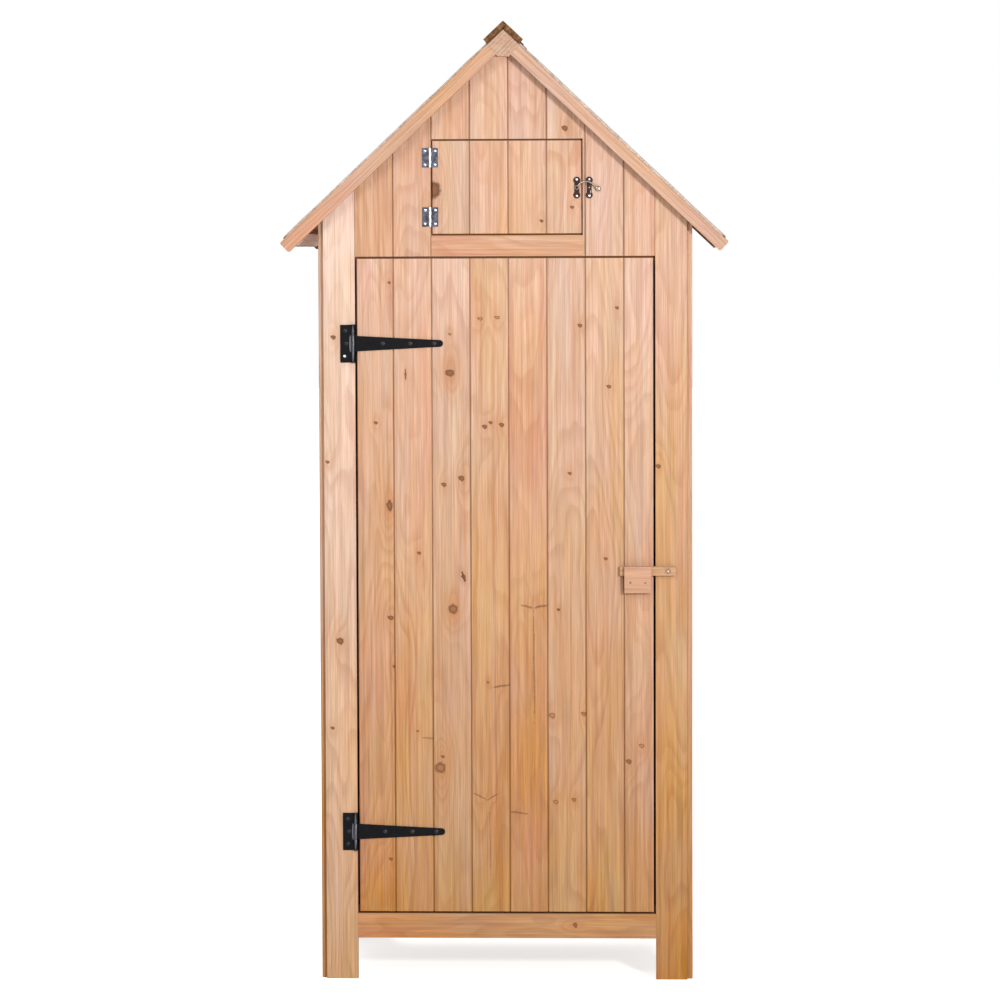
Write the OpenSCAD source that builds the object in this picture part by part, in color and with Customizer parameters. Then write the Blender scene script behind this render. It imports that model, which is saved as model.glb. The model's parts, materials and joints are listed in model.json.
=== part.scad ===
// Garden tool locker in tongue-and-groove softwood.
// A tall boarded door on tee hinges, a small hatch above it, a steep felted roof.
// X is to the right seen from the front, Y is to the back, Z is up.

/* [Carcase] */
// Width over the two side walls
body_w = 638; // [560:1:720]
// Depth from the front face to the rear face, without the roof
body_d = 470; // [400:1:640]
// Thickness of the side and back boards
side_t = 9; // [7:0.5:14]
// How far the side boards' front edge lies behind the front face
side_setback = 10; // [4:0.5:11]
// Thickness of the posts, rails and gable boards on the front
face_t = 11; // [9:0.5:16]
// Width of a front post
post_w = 54; // [44:1:70]
// Side of a square framing batten
batten = 28; // [22:1:36]
// Clear height under the bottom rail
foot_h = 71; // [40:1:110]
// Height of the bottom rail and of the floor bearers
bottom_rail_h = 42.5; // [30:0.5:60]
// Thickness of the floor, loft and shelf boards
floor_t = 12; // [9:0.5:18]
// Height of the lower shelf's rails as a part of the loft's height
lower_shelf_part = 0.376; // [0.3:0.001:0.45]
// Height of the upper shelf's rails as a part of the loft's height
upper_shelf_part = 0.6735; // [0.6:0.0005:0.75]
// Width of a shelf slat
slat_w = 50; // [40:1:60]
// Space between two shelf slats
slat_gap = 9; // [4:1:14]
// Number of slats in a shelf
slat_count = 3; // [2:1:4]

/* [Boards] */
// Distance from one board seam to the next
board_pitch = 65.5; // [60:0.5:72]
// Gap between the faces of two boards
board_gap = 1.2; // [0.6:0.1:2]
// Size of the vee chamfer along a board's edges
vee = 1.3; // [0.6:0.1:2]
// Thickness of a tongue
tongue_t = 3; // [2:0.25:4]
// How far a tongue reaches into the next board
tongue_l = 3.5; // [2:0.5:5]
// Space all round a tongue in its groove
groove_slack = 0.2; // [0.1:0.05:0.5]

/* [Door] */
// Height of the side walls' upper edge above the door
wall_up = 82; // [74:0.5:110]
// Gap round the door
door_gap = 3.5; // [2:0.25:6]
// How far the door's back stays off its stops
stop_gap = 0.5; // [0.3:0.1:1]
// Lap of the sill and head rail behind the door and the hatch
stop_lap = 10; // [6:1:16]
// Width of a door ledge
ledge_w = 64; // [50:1:80]
// Thickness of a door ledge
ledge_t = 14; // [10:0.5:20]
// Distance from the door's edge to the end of a ledge
ledge_inset = 18; // [12:1:30]
// Height of the lower hinge above the door's lower edge
lower_hinge_up = 138; // [90:0.5:200]
// Distance of the upper hinge below the door's upper edge
upper_hinge_down = 144.5; // [90:0.5:200]

/* [Hatch] */
// Height of the rail between the door and the hatch
mid_rail_h = 35.5; // [28:0.5:50]
// Space between the hatch opening's upper corner and the roof's battens
hatch_top_clear = 6; // [3:0.5:20]
// Number of boards that the hatch opening cuts
hatch_board_count = 4; // [3:1:4]
// How much narrower the hatch opening is than its boards
hatch_narrow = 4; // [2:0.5:16]
// Gap at the hatch's sides
hatch_gap = 2; // [1:0.25:3]
// Gap above and below the hatch
hatch_gap_v = 3; // [2:0.25:5]
// Width of a hatch ledge
hatch_ledge_w = 30; // [20:1:36]
// Thickness of a hatch ledge
hatch_ledge_t = 12; // [8:0.5:16]
// Distance of a hatch hinge's centre from the hatch's upper or lower edge
hatch_hinge_in = 28.5; // [24:0.5:36]

/* [Roof] */
// Height of the whole locker
total_h = 1638; // [1450:1:2000]
// How far the eaves stand out from the side walls
eave_out = 62; // [50:1:110]
// How far the roof stands out from the front and the rear face
verge_out = 35; // [28:1:90]
// Pitch of the roof in degrees
pitch = 43.3; // [42:0.1:45]
// Thickness of the roof boards
roof_t = 10; // [8:0.5:14]
// Width of a barge board
barge_w = 22; // [18:0.5:30]
// Thickness of a barge board
barge_t = 12; // [9:0.5:16]
// Radius at the lower end of a barge board
barge_r = 3; // [1:0.5:6]
// How far the roof boards stop short of the barge boards' ends
eave_back = 12; // [6:1:20]
// How much shorter the rear barge boards are than the front ones
rear_barge_short = 6; // [0:1:10]
// Width of the batten under the roof boards' lower edge
eave_batten_w = 30; // [20:1:40]
// How far the eave's lower edge stands above the barge boards' lower edges
eave_up = 4; // [1:0.5:4]
// Side of the ridge beam, which stands on its corner
beam_side = 38; // [32:1:45]
// Height of the ridge beam's lower faces
beam_low = 26; // [22:0.5:34]
// Thickness of the roofing felt
felt_t = 2.5; // [1.5:0.1:4]
// How far the felt turns down over the right barge board
felt_lip_right = 3; // [1:0.5:8]
// How far the felt turns down over the left barge board
felt_lip_left = 1; // [1:0.5:8]
// How far the felt's turned edge stands off the barge board's face
felt_fold = 2; // [1:0.25:3]
// Thickness of the ridge cap's doubled front edge
cap_t = 8.3; // [5:0.1:12]
// Length of the ridge cap's doubled front edge
cap_band = 14; // [8:1:40]
// Thickness of the ridge cap behind its doubled edge
cap_rear_t = 4; // [3:0.1:5]
// Length of one arm of the ridge cap along the slope
cap_arm = 36; // [30:1:60]

/* [Tee hinges] */
// Height of a tee hinge's plate
tee_plate_h = 64.4; // [56:0.2:80]
// Width of a tee hinge's plate, from its edge to the pin
tee_plate_w = 22.5; // [18:0.5:28]
// Thickness of the tee hinge's steel
tee_t = 2; // [1.5:0.1:3]
// Length of the strap from the pin to its tip
strap_l = 153; // [120:1:180]
// Height of the strap at the pin
strap_root = 27; // [22:0.5:34]
// Height of the strap at its tip
strap_tip = 11.6; // [9:0.2:16]
// Outer radius of the tee hinge's knuckle
tee_knuckle_r = 3.5; // [3:0.1:4.5]
// Radius of the tee hinge's pin
tee_pin_r = 1.9; // [1.5:0.1:2.2]
// Radius of a tee hinge screw's head
tee_screw_r = 3.4; // [2.5:0.1:4]

/* [Small hinges] */
// Height of a hatch hinge
butt_h = 33; // [28:0.5:42]
// Width of one leaf of a hatch hinge, from the pin to its edge
butt_leaf_w = 13.6; // [10:0.2:18]
// Thickness of the leaf
butt_t = 1.2; // [0.8:0.1:1.6]
// Outer radius of the hatch hinge's knuckle
butt_knuckle_r = 2.3; // [2:0.1:2.8]
// Radius of the hatch hinge's pin
butt_pin_r = 1.2; // [0.9:0.1:1.4]
// Number of knuckles of a hatch hinge
butt_knuckles = 5; // [3:2:7]

/* [Hook] */
// Height of the hook's pivot above the hatch's lower edge
hook_up = 77.5; // [60:0.5:100]
// Distance of the pivot from the hatch's right edge
hook_in = 7.8; // [7:0.1:12]
// Height of the hook's plates
hook_plate_h = 37; // [30:0.5:46]
// Width of the hook's plates
hook_plate_w = 12; // [10:0.5:14]
// Thickness of the hook's plates
hook_plate_t = 1.5; // [1:0.1:2.5]
// Distance of a plate's screws from its middle
hook_screw_out = 13.8; // [12:0.1:16]
// Radius of a hook plate screw's head
hook_screw_r = 2.3; // [1.8:0.1:2.6]
// Space between the hook's arm and its plates
hook_lift = 1; // [0.9:0.1:1.6]
// Radius of the arc of the hook's arm
hook_arc_r = 16; // [13:0.5:18]
// Width of the hook's arm
hook_arm_w = 2.4; // [1.8:0.1:3.4]
// Thickness of the hook's arm
hook_arm_t = 2.2; // [1.6:0.1:3]
// Radius of the hook's pivot pin
hook_pin_r = 1.8; // [1.4:0.1:2.2]
// Radius of the keeper's peg
peg_r = 3; // [2.4:0.1:3.4]

/* [Wooden latch] */
// Length of the latch bar
bar_l = 95.5; // [86:0.5:110]
// Height of the latch bar
bar_h = 15.5; // [12:0.5:20]
// Thickness of the latch bar
bar_t = 10; // [8:0.5:14]
// Distance from the bar's right end to its pivot
bar_tail = 12.7; // [10:0.1:18]
// Distance from the post's inner edge to the bar's pivot
bar_pivot_in = 21.8; // [18:0.1:28]
// Height of the bar's centre on the door as a part of the door's height
bar_part = 0.524; // [0.4:0.001:0.65]
// Width of the keeper block
keeper_w = 46; // [40:1:52]
// Height of the keeper block
keeper_h = 45; // [38:1:60]
// Thickness of the keeper block
keeper_t = 9; // [7:0.5:14]
// Distance of the keeper block from the door's edge
keeper_in = 3.5; // [1:0.5:6]
// Radius of the bar's pivot screw
bar_screw_r = 2.5; // [2:0.1:3.5]

/* [Clearances] */
// Radial clearance of a pin in its bore
pin_fit = 0.05; // [0.02:0.01:0.1]
// Gap between flat faces that slide past each other
slide_gap = 0.3; // [0.2:0.05:0.6]
// Gap in a butt joint of two framing battens
joint_gap = 0.1; // [0.05:0.05:0.3]

/* [Hidden] */
$fn = 48;
// A last board narrower than this part of the pitch is left out
least_board = 0.1;
inner_x = body_w / 2 - side_t;
post_x = inner_x - post_w;
door_count = ceil((2 * post_x) / board_pitch - least_board);
DOOR_BOARDS = [for (i = [1 : door_count]) str("door_board_", i)];
// How far a cut runs past the face it starts from
cut = 1;

// Colours of the finishes
pale_fir = [0.90, 0.74, 0.58];
warm_fir = [0.85, 0.66, 0.48];
frame_fir = [0.82, 0.66, 0.50];
japanned = [0.10, 0.10, 0.12];
zinc = [0.78, 0.78, 0.80];
bronze = [0.36, 0.28, 0.24];
felt_colour = [0.36, 0.35, 0.31];

// Carcase planes
face_y = -body_d / 2;
rear_y = body_d / 2;
frame_y = face_y + face_t;
frame_back = frame_y + batten;
rear_frame_y = rear_y - side_t;
rear_frame_front = rear_frame_y - batten;
upright_x = inner_x - batten;
bay_d = rear_frame_front - frame_back;

// Roof, with the apex of the roof boards' top planes as its origin
apex_z = total_h - (felt_t + cap_t) / cos(pitch);
roof_w = body_w + 2 * eave_out;
roof_y = body_d / 2 + verge_out;
barge_y = roof_y - felt_fold;
deck_y = barge_y - barge_t;
roof_s = roof_w / 2 / cos(pitch);
deck_s = roof_s - eave_back;
eave_d = barge_w - eave_up;

// Height of a plane of the roof at x, a depth d under the roof boards' top
function roof_z(x, d) = apex_z - d / cos(pitch) - abs(x) * tan(pitch);

// Hatch opening, from one board seam to another
seam_x0 = -post_x;
hatch_seam = floor((door_count - hatch_board_count) / 2);
hatch_open_x0 = seam_x0 + hatch_seam * board_pitch;
hatch_open_x1 = hatch_open_x0 + hatch_board_count * board_pitch - hatch_narrow;
hatch_x0 = hatch_open_x0 + hatch_gap;
hatch_x1 = hatch_open_x1 - hatch_gap;

// Heights
floor_z = foot_h + bottom_rail_h;
lintel_z = roof_z(body_w / 2, 0) - wall_up;
door_z0 = floor_z + door_gap;
door_z1 = lintel_z - door_gap;
door_h = door_z1 - door_z0;
lower_hinge_z = door_z0 + lower_hinge_up;
upper_hinge_z = door_z1 - upper_hinge_down;
hatch_open_z0 = lintel_z + mid_rail_h;
hatch_open_z1 = roof_z(max(-hatch_open_x0, hatch_open_x1), roof_t + batten) - hatch_top_clear;
hatch_z0 = hatch_open_z0 + hatch_gap_v;
hatch_z1 = hatch_open_z1 - hatch_gap_v;
head_rail_z0 = door_z1 - stop_lap;
head_rail_z1 = hatch_z0 + stop_lap;
loft_z = head_rail_z1 - floor_t;
lower_shelf_z = lower_shelf_part * loft_z;
upper_shelf_z = upper_shelf_part * loft_z;

// Door and hatch outlines
door_x1 = post_x - door_gap;
door_t = face_t - stop_gap;
door_back = face_y + door_t;
ledge_clear = 2;

// Hinges
tee_pin_out = 2.5;
tee_x = -post_x - tee_pin_out;
tee_y = face_y - tee_knuckle_r - slide_gap;
tee_bore_r = tee_pin_r + pin_fit;
tee_slot = 1;
tee_mid = strap_root + 2 * slide_gap;
strap_screws = strap_l * [0.327, 0.634, 0.902];
tee_screw_in = 8;
tee_screw_mid_in = 10;
tee_screw_up = 0.34 * tee_plate_h;
rivet_t = 0.8;
rivet_r = tee_knuckle_r - 0.6;
butt_pin_out = 1.5;
butt_x = hatch_open_x0 - butt_pin_out;
butt_y = face_y - butt_knuckle_r - slide_gap;
butt_bore_r = butt_pin_r + pin_fit;
butt_screw_r = 2.1;
butt_screw_in = 0.64 * butt_leaf_w;
butt_screw_up = 0.355 * butt_h;
// A raised screw head's height, its rim's share of that and its flat top's radius
head_rise = 0.3;
head_rim = 0.4;
head_flat = 0.7;
hatch_hinge_z = [hatch_z0 + hatch_hinge_in, hatch_z1 - hatch_hinge_in];

// Hook, measured from its pivot
hook_x = hatch_x1 - hook_in;
hook_z = hatch_z0 + hook_up;
hook_plate_y = face_y - hook_plate_t;
hook_y = hook_plate_y - hook_lift;
hook_head_t = 0.8;
hook_waist = 0.7 * hook_plate_w;
hook_arc_x = 0.975 * hook_arc_r;
hook_arc_z = -0.325 * hook_arc_r;
hook_tip = hook_arc_r * [2.25, -0.12];
hook_tip_r = 4.6;
hook_boss_r = 4;
hook_rest = 0.5;
keeper_clear = 5.3;
keeper_x = hook_in + hatch_gap + hook_plate_w / 2 + keeper_clear;
peg_z = arc_height(keeper_x, hook_arc_r - hook_arm_w / 2) - peg_r - hook_rest;
peg_l = 6;
neck_x = hook_arc_x + 0.87 * hook_arc_r;
hook_neck = [neck_x, arc_height(neck_x, hook_arc_r)];

// Height at x of an arc of radius r round the centre of the hook's arm
function arc_height(x, r) = hook_arc_z + sqrt(r * r - (x - hook_arc_x) * (x - hook_arc_x));

// Wooden latch
bar_x = post_x + bar_pivot_in;
bar_z = door_z0 + bar_part * door_h;
bar_y = face_y - slide_gap;
keeper_x1 = door_x1 - keeper_in;
keeper_z1 = bar_z + bar_h / 2 + slide_gap;
spacer_t = bar_t + 2 * slide_gap;
screw_head_t = 2;
screw_head_r = 4.5;

// Point of the right slope, s down the slope and d under the boards' top
function slope(s, d) = [s * cos(pitch) - d * sin(pitch),
    apex_z - s * sin(pitch) - d * cos(pitch)];
// Number of boards that fill a length at about the usual pitch
function boards_in(length) = round(length / board_pitch);

// Extrudes an outline drawn in X and Z from y0 to y1
module plate(y0, y1) {
    translate([0, y1, 0]) rotate([90, 0, 0]) linear_extrude(y1 - y0) children();
}

// A box from one corner to the other
module block(low, high) {
    translate(low) cube(high - low);
}

module both_sides() {
    children();
    mirror([1, 0, 0]) children();
}

// Section of a matched board: vees on its face at y = 0, a groove on its left
// edge and a tongue on its right edge where another board follows
module board_section(x0, x1, t, groove, tongue) {
    mid = t / 2;
    slot = tongue_t / 2 + groove_slack;
    reach = board_gap + tongue_l;
    deep = tongue_l + groove_slack;
    polygon(concat(
        [[x0 + vee, 0], [x1 - vee, 0], [x1, vee]],
        tongue ? [[x1, mid - tongue_t / 2], [x1 + reach, mid - tongue_t / 2],
            [x1 + reach, mid + tongue_t / 2], [x1, mid + tongue_t / 2]] : [],
        [[x1, t], [x0, t]],
        groove ? [[x0, mid + slot], [x0 + deep, mid + slot],
            [x0 + deep, mid - slot], [x0, mid - slot]] : [],
        [[x0, vee]]));
}

// Board number i of a run between two seams, standing from z0 to z1
module standing_board(a, b, t, z0, z1, groove, tongue) {
    x0 = groove ? a + board_gap / 2 : a;
    x1 = tongue ? b - board_gap / 2 : b;
    translate([0, 0, z0]) linear_extrude(z1 - z0) board_section(x0, x1, t, groove, tongue);
}

// A wall of standing boards; its two end boards reach down to the ground
module board_wall(length, t, z0, z1) {
    count = boards_in(length);
    step = length / count;
    for (i = [0 : count - 1]) {
        low = (i == 0 || i == count - 1) ? 0 : z0;
        standing_board(i * step, (i + 1) * step, t, low, z1, i > 0, i < count - 1);
    }
}

// A deck of boards that run across the locker, with their vees underneath
module board_deck(z0, t) {
    count = boards_in(bay_d);
    step = bay_d / count;
    translate([-inner_x, frame_back, z0]) rotate([0, 90, 0]) rotate([0, 0, 90])
        for (i = [0 : count - 1])
            standing_board(i * step, (i + 1) * step, t, 0, 2 * inner_x, i > 0, i < count - 1);
}

// Everything below a plane that lies d under the roof boards' top
module under_roof(d) {
    reach = roof_w / 2;
    polygon([[0, roof_z(0, d)], [reach, roof_z(reach, d)], [reach, 0], [-reach, 0],
        [-reach, roof_z(reach, d)]]);
}

module beam_outline() {
    low = slope(beam_side, beam_low);
    high = slope(beam_side, 0);
    polygon([[0, apex_z], high, low, [-low[0], low[1]], [-high[0], high[1]]]);
}

module under_deck_outline() {
    difference() {
        under_roof(roof_t);
        beam_outline();
    }
}

// Front posts and rails

module front_post() {
    plate(face_y, frame_y) polygon([[post_x, 0], [inner_x, 0],
        [inner_x, roof_z(inner_x, roof_t)], [post_x, roof_z(post_x, roof_t)]]);
}

module front_post_left() {
    color(pale_fir) mirror([1, 0, 0]) front_post();
}

module front_post_right() {
    color(pale_fir) front_post();
}

module bottom_rail() {
    color(warm_fir) block([-post_x, face_y, foot_h], [post_x, frame_y, floor_z]);
}

module mid_rail() {
    color(pale_fir) block([hatch_open_x0, face_y, lintel_z],
        [hatch_open_x1, frame_y, hatch_open_z0]);
}

// Gable boards stand on the seams of the door's boards; the hatch is cut out
module gable_board(i) {
    a = seam_x0 + i * board_pitch;
    b = min(a + board_pitch, post_x);
    translate([0, face_y, 0])
        standing_board(a, b, face_t, lintel_z, apex_z, i > 0, i < door_count - 1);
}

module gable_boards() {
    color(pale_fir) intersection() {
        difference() {
            for (i = [0 : door_count - 1]) gable_board(i);
            block([hatch_open_x0, face_y - cut, lintel_z - cut],
                [hatch_open_x1, frame_y + cut, hatch_open_z1]);
        }
        plate(face_y - cut, frame_y + cut) under_deck_outline();
    }
}

// Side and back walls

module side_boards_right() {
    front = face_y + side_setback;
    color(warm_fir) intersection() {
        translate([body_w / 2, front, 0]) rotate([0, 0, 90])
            board_wall(rear_y - front, side_t, foot_h, apex_z);
        plate(face_y, rear_y + cut) under_roof(roof_t);
    }
}

module side_boards_left() {
    mirror([1, 0, 0]) side_boards_right();
}

module back_boards() {
    color(warm_fir) intersection() {
        translate([inner_x, rear_y, 0]) rotate([0, 0, 180])
            board_wall(2 * inner_x, side_t, foot_h, apex_z);
        plate(rear_frame_y - cut, rear_y + cut) under_deck_outline();
    }
}

// Framing

module upright(y0) {
    plate(y0, y0 + batten) polygon([[upright_x, 0], [inner_x, 0],
        [inner_x, roof_z(inner_x, roof_t)], [upright_x, roof_z(upright_x, roof_t)]]);
}

module side_rail(z0, h) {
    block([upright_x, frame_back + joint_gap, z0],
        [inner_x, rear_frame_front - joint_gap, z0 + h]);
}

module side_frame_right() {
    color(frame_fir) {
        upright(frame_y);
        upright(rear_frame_front);
        side_rail(foot_h, bottom_rail_h);
        side_rail(lower_shelf_z, batten);
        side_rail(upper_shelf_z, batten);
        side_rail(loft_z - batten, batten);
    }
}

module side_frame_left() {
    mirror([1, 0, 0]) side_frame_right();
}

module back_rails() {
    color(frame_fir) for (rail = [[foot_h, bottom_rail_h], [lower_shelf_z, batten],
        [upper_shelf_z, batten], [loft_z - batten, batten]])
        block([-upright_x, rear_frame_front, rail[0]],
            [upright_x, rear_frame_y, rail[0] + rail[1]]);
}

// The sill, the head rail and the hatch's upper rail stop the door and the hatch
module front_rails() {
    color(frame_fir) {
        block([-upright_x, frame_y, foot_h], [upright_x, frame_back, door_z0 + stop_lap]);
        block([-upright_x, frame_y, head_rail_z0], [upright_x, frame_back, head_rail_z1]);
        plate(frame_y, frame_back) intersection() {
            translate([-upright_x, hatch_z1 - stop_lap]) square([2 * upright_x, batten]);
            under_roof(roof_t + batten);
        }
    }
}

module gable_batten(y0) {
    plate(y0, y0 + batten) polygon([slope(beam_side, roof_t),
        [upright_x, roof_z(upright_x, roof_t)],
        [upright_x, roof_z(upright_x, roof_t + batten)],
        slope(beam_side, roof_t + batten)]);
}

module gable_battens() {
    color(frame_fir) both_sides() {
        gable_batten(frame_y);
        gable_batten(rear_frame_front);
    }
}

module floor_boards() {
    color(frame_fir) board_deck(floor_z, floor_t);
}

module floor_bearers() {
    third = bay_d / 3;
    color(frame_fir) for (i = [1, 2]) {
        y = frame_back + i * third - batten / 2;
        block([-upright_x, y, foot_h], [upright_x, y + batten, floor_z]);
    }
}

module loft_floor() {
    color(frame_fir) board_deck(loft_z, floor_t);
}

module shelf(z) {
    color(frame_fir) for (i = [0 : slat_count - 1]) {
        y = rear_frame_front - slat_w - i * (slat_w + slat_gap);
        block([-inner_x, y, z], [inner_x, y + slat_w, z + floor_t]);
    }
}

module upper_shelf() {
    shelf(upper_shelf_z + batten);
}

module lower_shelf() {
    shelf(lower_shelf_z + batten);
}

// Roof

// Puts X down the right slope and Z square to it, from the apex
module on_slope() {
    translate([0, 0, apex_z]) rotate([0, pitch, 0]) children();
}

module roof_boards_right() {
    length = deck_s - beam_side;
    count = boards_in(length);
    step = length / count;
    color(warm_fir) on_slope() translate([0, deck_y, -roof_t]) rotate([90, 0, 0])
        translate([beam_side, 0, 0]) linear_extrude(2 * deck_y) for (i = [0 : count - 1]) {
            first = i == 0;
            last = i == count - 1;
            board_section(first ? 0 : i * step + board_gap / 2,
                last ? length : (i + 1) * step - board_gap / 2, roof_t, !first, !last);
        }
}

module roof_boards_left() {
    mirror([1, 0, 0]) roof_boards_right();
}

module eave_battens() {
    color(frame_fir) both_sides() on_slope()
        block([deck_s - eave_batten_w, -deck_y, -eave_d], [deck_s, deck_y, -roof_t]);
}

module ridge_beam() {
    color(pale_fir) plate(-barge_y, barge_y) beam_outline();
}

module round_corner(x, z, sx, sz, r) {
    translate([x, z]) scale([sx, sz]) difference() {
        translate([-cut, -cut]) square(r + cut);
        translate([r, r]) circle(r);
    }
}

// A barge board that ends at a distance end_s down the slope
module barge(y0, end_s) {
    color(warm_fir) on_slope() plate(y0, y0 + barge_t) difference() {
        translate([beam_side, -barge_w]) square([end_s - beam_side, barge_w]);
        round_corner(end_s, 0, -1, -1, barge_r);
        round_corner(end_s, -barge_w, -1, 1, barge_r);
    }
}

module front_barge_right() {
    barge(-barge_y, roof_s);
}

module front_barge_left() {
    mirror([1, 0, 0]) barge(-barge_y, roof_s);
}

module rear_barges() {
    both_sides() barge(deck_y, roof_s - rear_barge_short);
}

// The felt's edge, turned down over a barge board's face
module felt_lip(y0, lip) {
    plate(y0, y0 + felt_fold) translate([beam_side, -lip])
        square([deck_s + felt_t - beam_side, lip + felt_t]);
}

// One slope of felt in the slope's own plane, mitred at the ridge and turned down
// over the barge boards and over the eave
module felt(lip) {
    color(felt_colour) on_slope() {
        plate(-barge_y, barge_y) polygon([[0, 0], [deck_s + felt_t, 0],
            [deck_s + felt_t, felt_t], [-felt_t * tan(pitch), felt_t]]);
        plate(-deck_y, deck_y) translate([deck_s, -eave_d]) square([felt_t, eave_d]);
        felt_lip(-roof_y, lip);
        felt_lip(barge_y, lip);
    }
}

module roof_felt_right() {
    felt(felt_lip_right);
}

module roof_felt_left() {
    mirror([1, 0, 0]) felt(felt_lip_left);
}

// A length of the ridge cap, t thick over the felt
module cap_length(y0, y1, t) {
    low = slope(cap_arm, -felt_t);
    high = slope(cap_arm, -felt_t - t);
    plate(y0, y1) polygon([[0, roof_z(0, -felt_t)], low, high,
        [0, roof_z(0, -felt_t - t)], [-high[0], high[1]], [-low[0], low[1]]]);
}

module ridge_cap() {
    color(felt_colour) {
        cap_length(-roof_y, cap_band - roof_y, cap_t);
        cap_length(cap_band / 2 - roof_y, roof_y, cap_rear_t);
    }
}

// Tee hinges, drawn round a pin that stands on the origin's Z axis

module tee_knuckle(z0, z1) {
    translate([0, 0, z0]) cylinder(h = z1 - z0, r = tee_knuckle_r);
}

module tee_leaf() {
    plate(face_y - tee_y - tee_t, face_y - tee_y) children();
}

module at_tee(z) {
    translate([tee_x, tee_y, z]) children();
}

module tee_bore() {
    translate([0, 0, -tee_plate_h]) cylinder(h = 2 * tee_plate_h, r = tee_bore_r);
}

module tee_plate() {
    half = tee_plate_h / 2;
    gap = tee_mid / 2;
    color(japanned) difference() {
        union() {
            tee_leaf() difference() {
                translate([-tee_plate_w, -half]) square([tee_plate_w, tee_plate_h]);
                translate([-tee_knuckle_r - tee_slot, -gap]) square([tee_plate_w, tee_mid]);
            }
            tee_knuckle(gap, half);
            tee_knuckle(-half, -gap);
        }
        tee_bore();
    }
}

module upper_hinge_plate() {
    at_tee(upper_hinge_z) tee_plate();
}

module lower_hinge_plate() {
    at_tee(lower_hinge_z) tee_plate();
}

module strap() {
    end_x = strap_l - strap_tip / 2;
    color(japanned) difference() {
        union() {
            tee_leaf() {
                polygon([[0, -strap_root / 2], [0, strap_root / 2],
                    [end_x, strap_tip / 2], [end_x, -strap_tip / 2]]);
                translate([end_x, 0]) circle(strap_tip / 2);
            }
            tee_knuckle(-strap_root / 2, strap_root / 2);
        }
        tee_bore();
    }
}

module upper_hinge_strap() {
    at_tee(upper_hinge_z) strap();
}

module lower_hinge_strap() {
    at_tee(lower_hinge_z) strap();
}

module tee_pin() {
    half = tee_plate_h / 2;
    cylinder(h = tee_plate_h, r = tee_pin_r, center = true);
    for (side = [0, 1]) mirror([0, 0, side]) translate([0, 0, half])
        cylinder(h = rivet_t, r = rivet_r);
}

module tee_hinge_pins() {
    color(zinc) for (z = [lower_hinge_z, upper_hinge_z]) at_tee(z) tee_pin();
}

// A raised screw head on a face that looks to the front: a rim with a cone on it
module screw_head(x, y, z, r) {
    rise = r * head_rise;
    rim = rise * head_rim;
    translate([x, y, z]) rotate([90, 0, 0]) {
        cylinder(h = rim, r = r);
        translate([0, 0, rim]) cylinder(h = rise - rim, r1 = r, r2 = r * head_flat);
    }
}

module frame_screws() {
    side = tee_x - tee_plate_w;
    color(japanned) for (z = [lower_hinge_z, upper_hinge_z]) {
        for (s = [-1, 1])
            screw_head(side + tee_screw_in, face_y - tee_t, z + s * tee_screw_up, tee_screw_r);
        screw_head(side + tee_screw_mid_in, face_y - tee_t, z, tee_screw_r);
    }
}

module door_screws() {
    color(japanned) for (z = [lower_hinge_z, upper_hinge_z], along = strap_screws)
        screw_head(tee_x + along, face_y - tee_t, z, tee_screw_r);
}

// Hatch hinges, drawn round a pin on the origin's Z axis

module butt_knuckle(i) {
    step = butt_h / butt_knuckles;
    translate([0, 0, -butt_h / 2 + i * step + slide_gap / 2])
        cylinder(h = step - slide_gap, r = butt_knuckle_r);
}

// One leaf, to the left of the pin, with every second knuckle from first
module butt_leaf(first) {
    step = butt_h / butt_knuckles;
    clear = butt_knuckle_r + slide_gap;
    color(zinc) difference() {
        union() {
            plate(face_y - butt_y - butt_t, face_y - butt_y) difference() {
                translate([-butt_leaf_w, -butt_h / 2]) square([butt_leaf_w, butt_h]);
                for (i = [1 - first : 2 : butt_knuckles - 1])
                    translate([-clear, -butt_h / 2 + i * step]) square([2 * clear, step]);
            }
            for (i = [first : 2 : butt_knuckles - 1]) butt_knuckle(i);
        }
        translate([0, 0, -butt_h]) cylinder(h = 2 * butt_h, r = butt_bore_r);
    }
}

module at_butts() {
    for (z = hatch_hinge_z) translate([butt_x, butt_y, z]) children();
}

module hatch_hinge_fixed_leaves() {
    at_butts() butt_leaf(0);
}

module hatch_hinge_moving_leaves() {
    at_butts() mirror([1, 0, 0]) butt_leaf(1);
}

module hatch_hinge_pins() {
    color(zinc) at_butts() cylinder(h = butt_h + rivet_t, r = butt_pin_r, center = true);
}

// The screws of both hinges on one side of the pin
module butt_screws(side) {
    color(zinc) for (z = hatch_hinge_z, s = [-1, 1])
        screw_head(butt_x + side * butt_screw_in, face_y - butt_t, z + s * butt_screw_up,
            butt_screw_r);
}

module hatch_hinge_screws() {
    butt_screws(-1);
}

module hatch_screws() {
    butt_screws(1);
}

// Door

module door_board(i) {
    a = max(seam_x0 + i * board_pitch, -door_x1);
    b = min(seam_x0 + (i + 1) * board_pitch, door_x1);
    color(warm_fir) translate([0, face_y, 0])
        standing_board(a, b, door_t, door_z0, door_z1, i > 0, i < door_count - 1);
}

ledge_x = door_x1 - ledge_inset;
// Length of a brace's sawn end over the width of a ledge
brace_foot = 1.25;
ledge_z = [lower_hinge_z, (lower_hinge_z + upper_hinge_z) / 2, upper_hinge_z];

module door_ledges() {
    color(warm_fir) for (z = ledge_z)
        block([-ledge_x, door_back, z - ledge_w / 2],
            [ledge_x, door_back + ledge_t, z + ledge_w / 2]);
}

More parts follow.
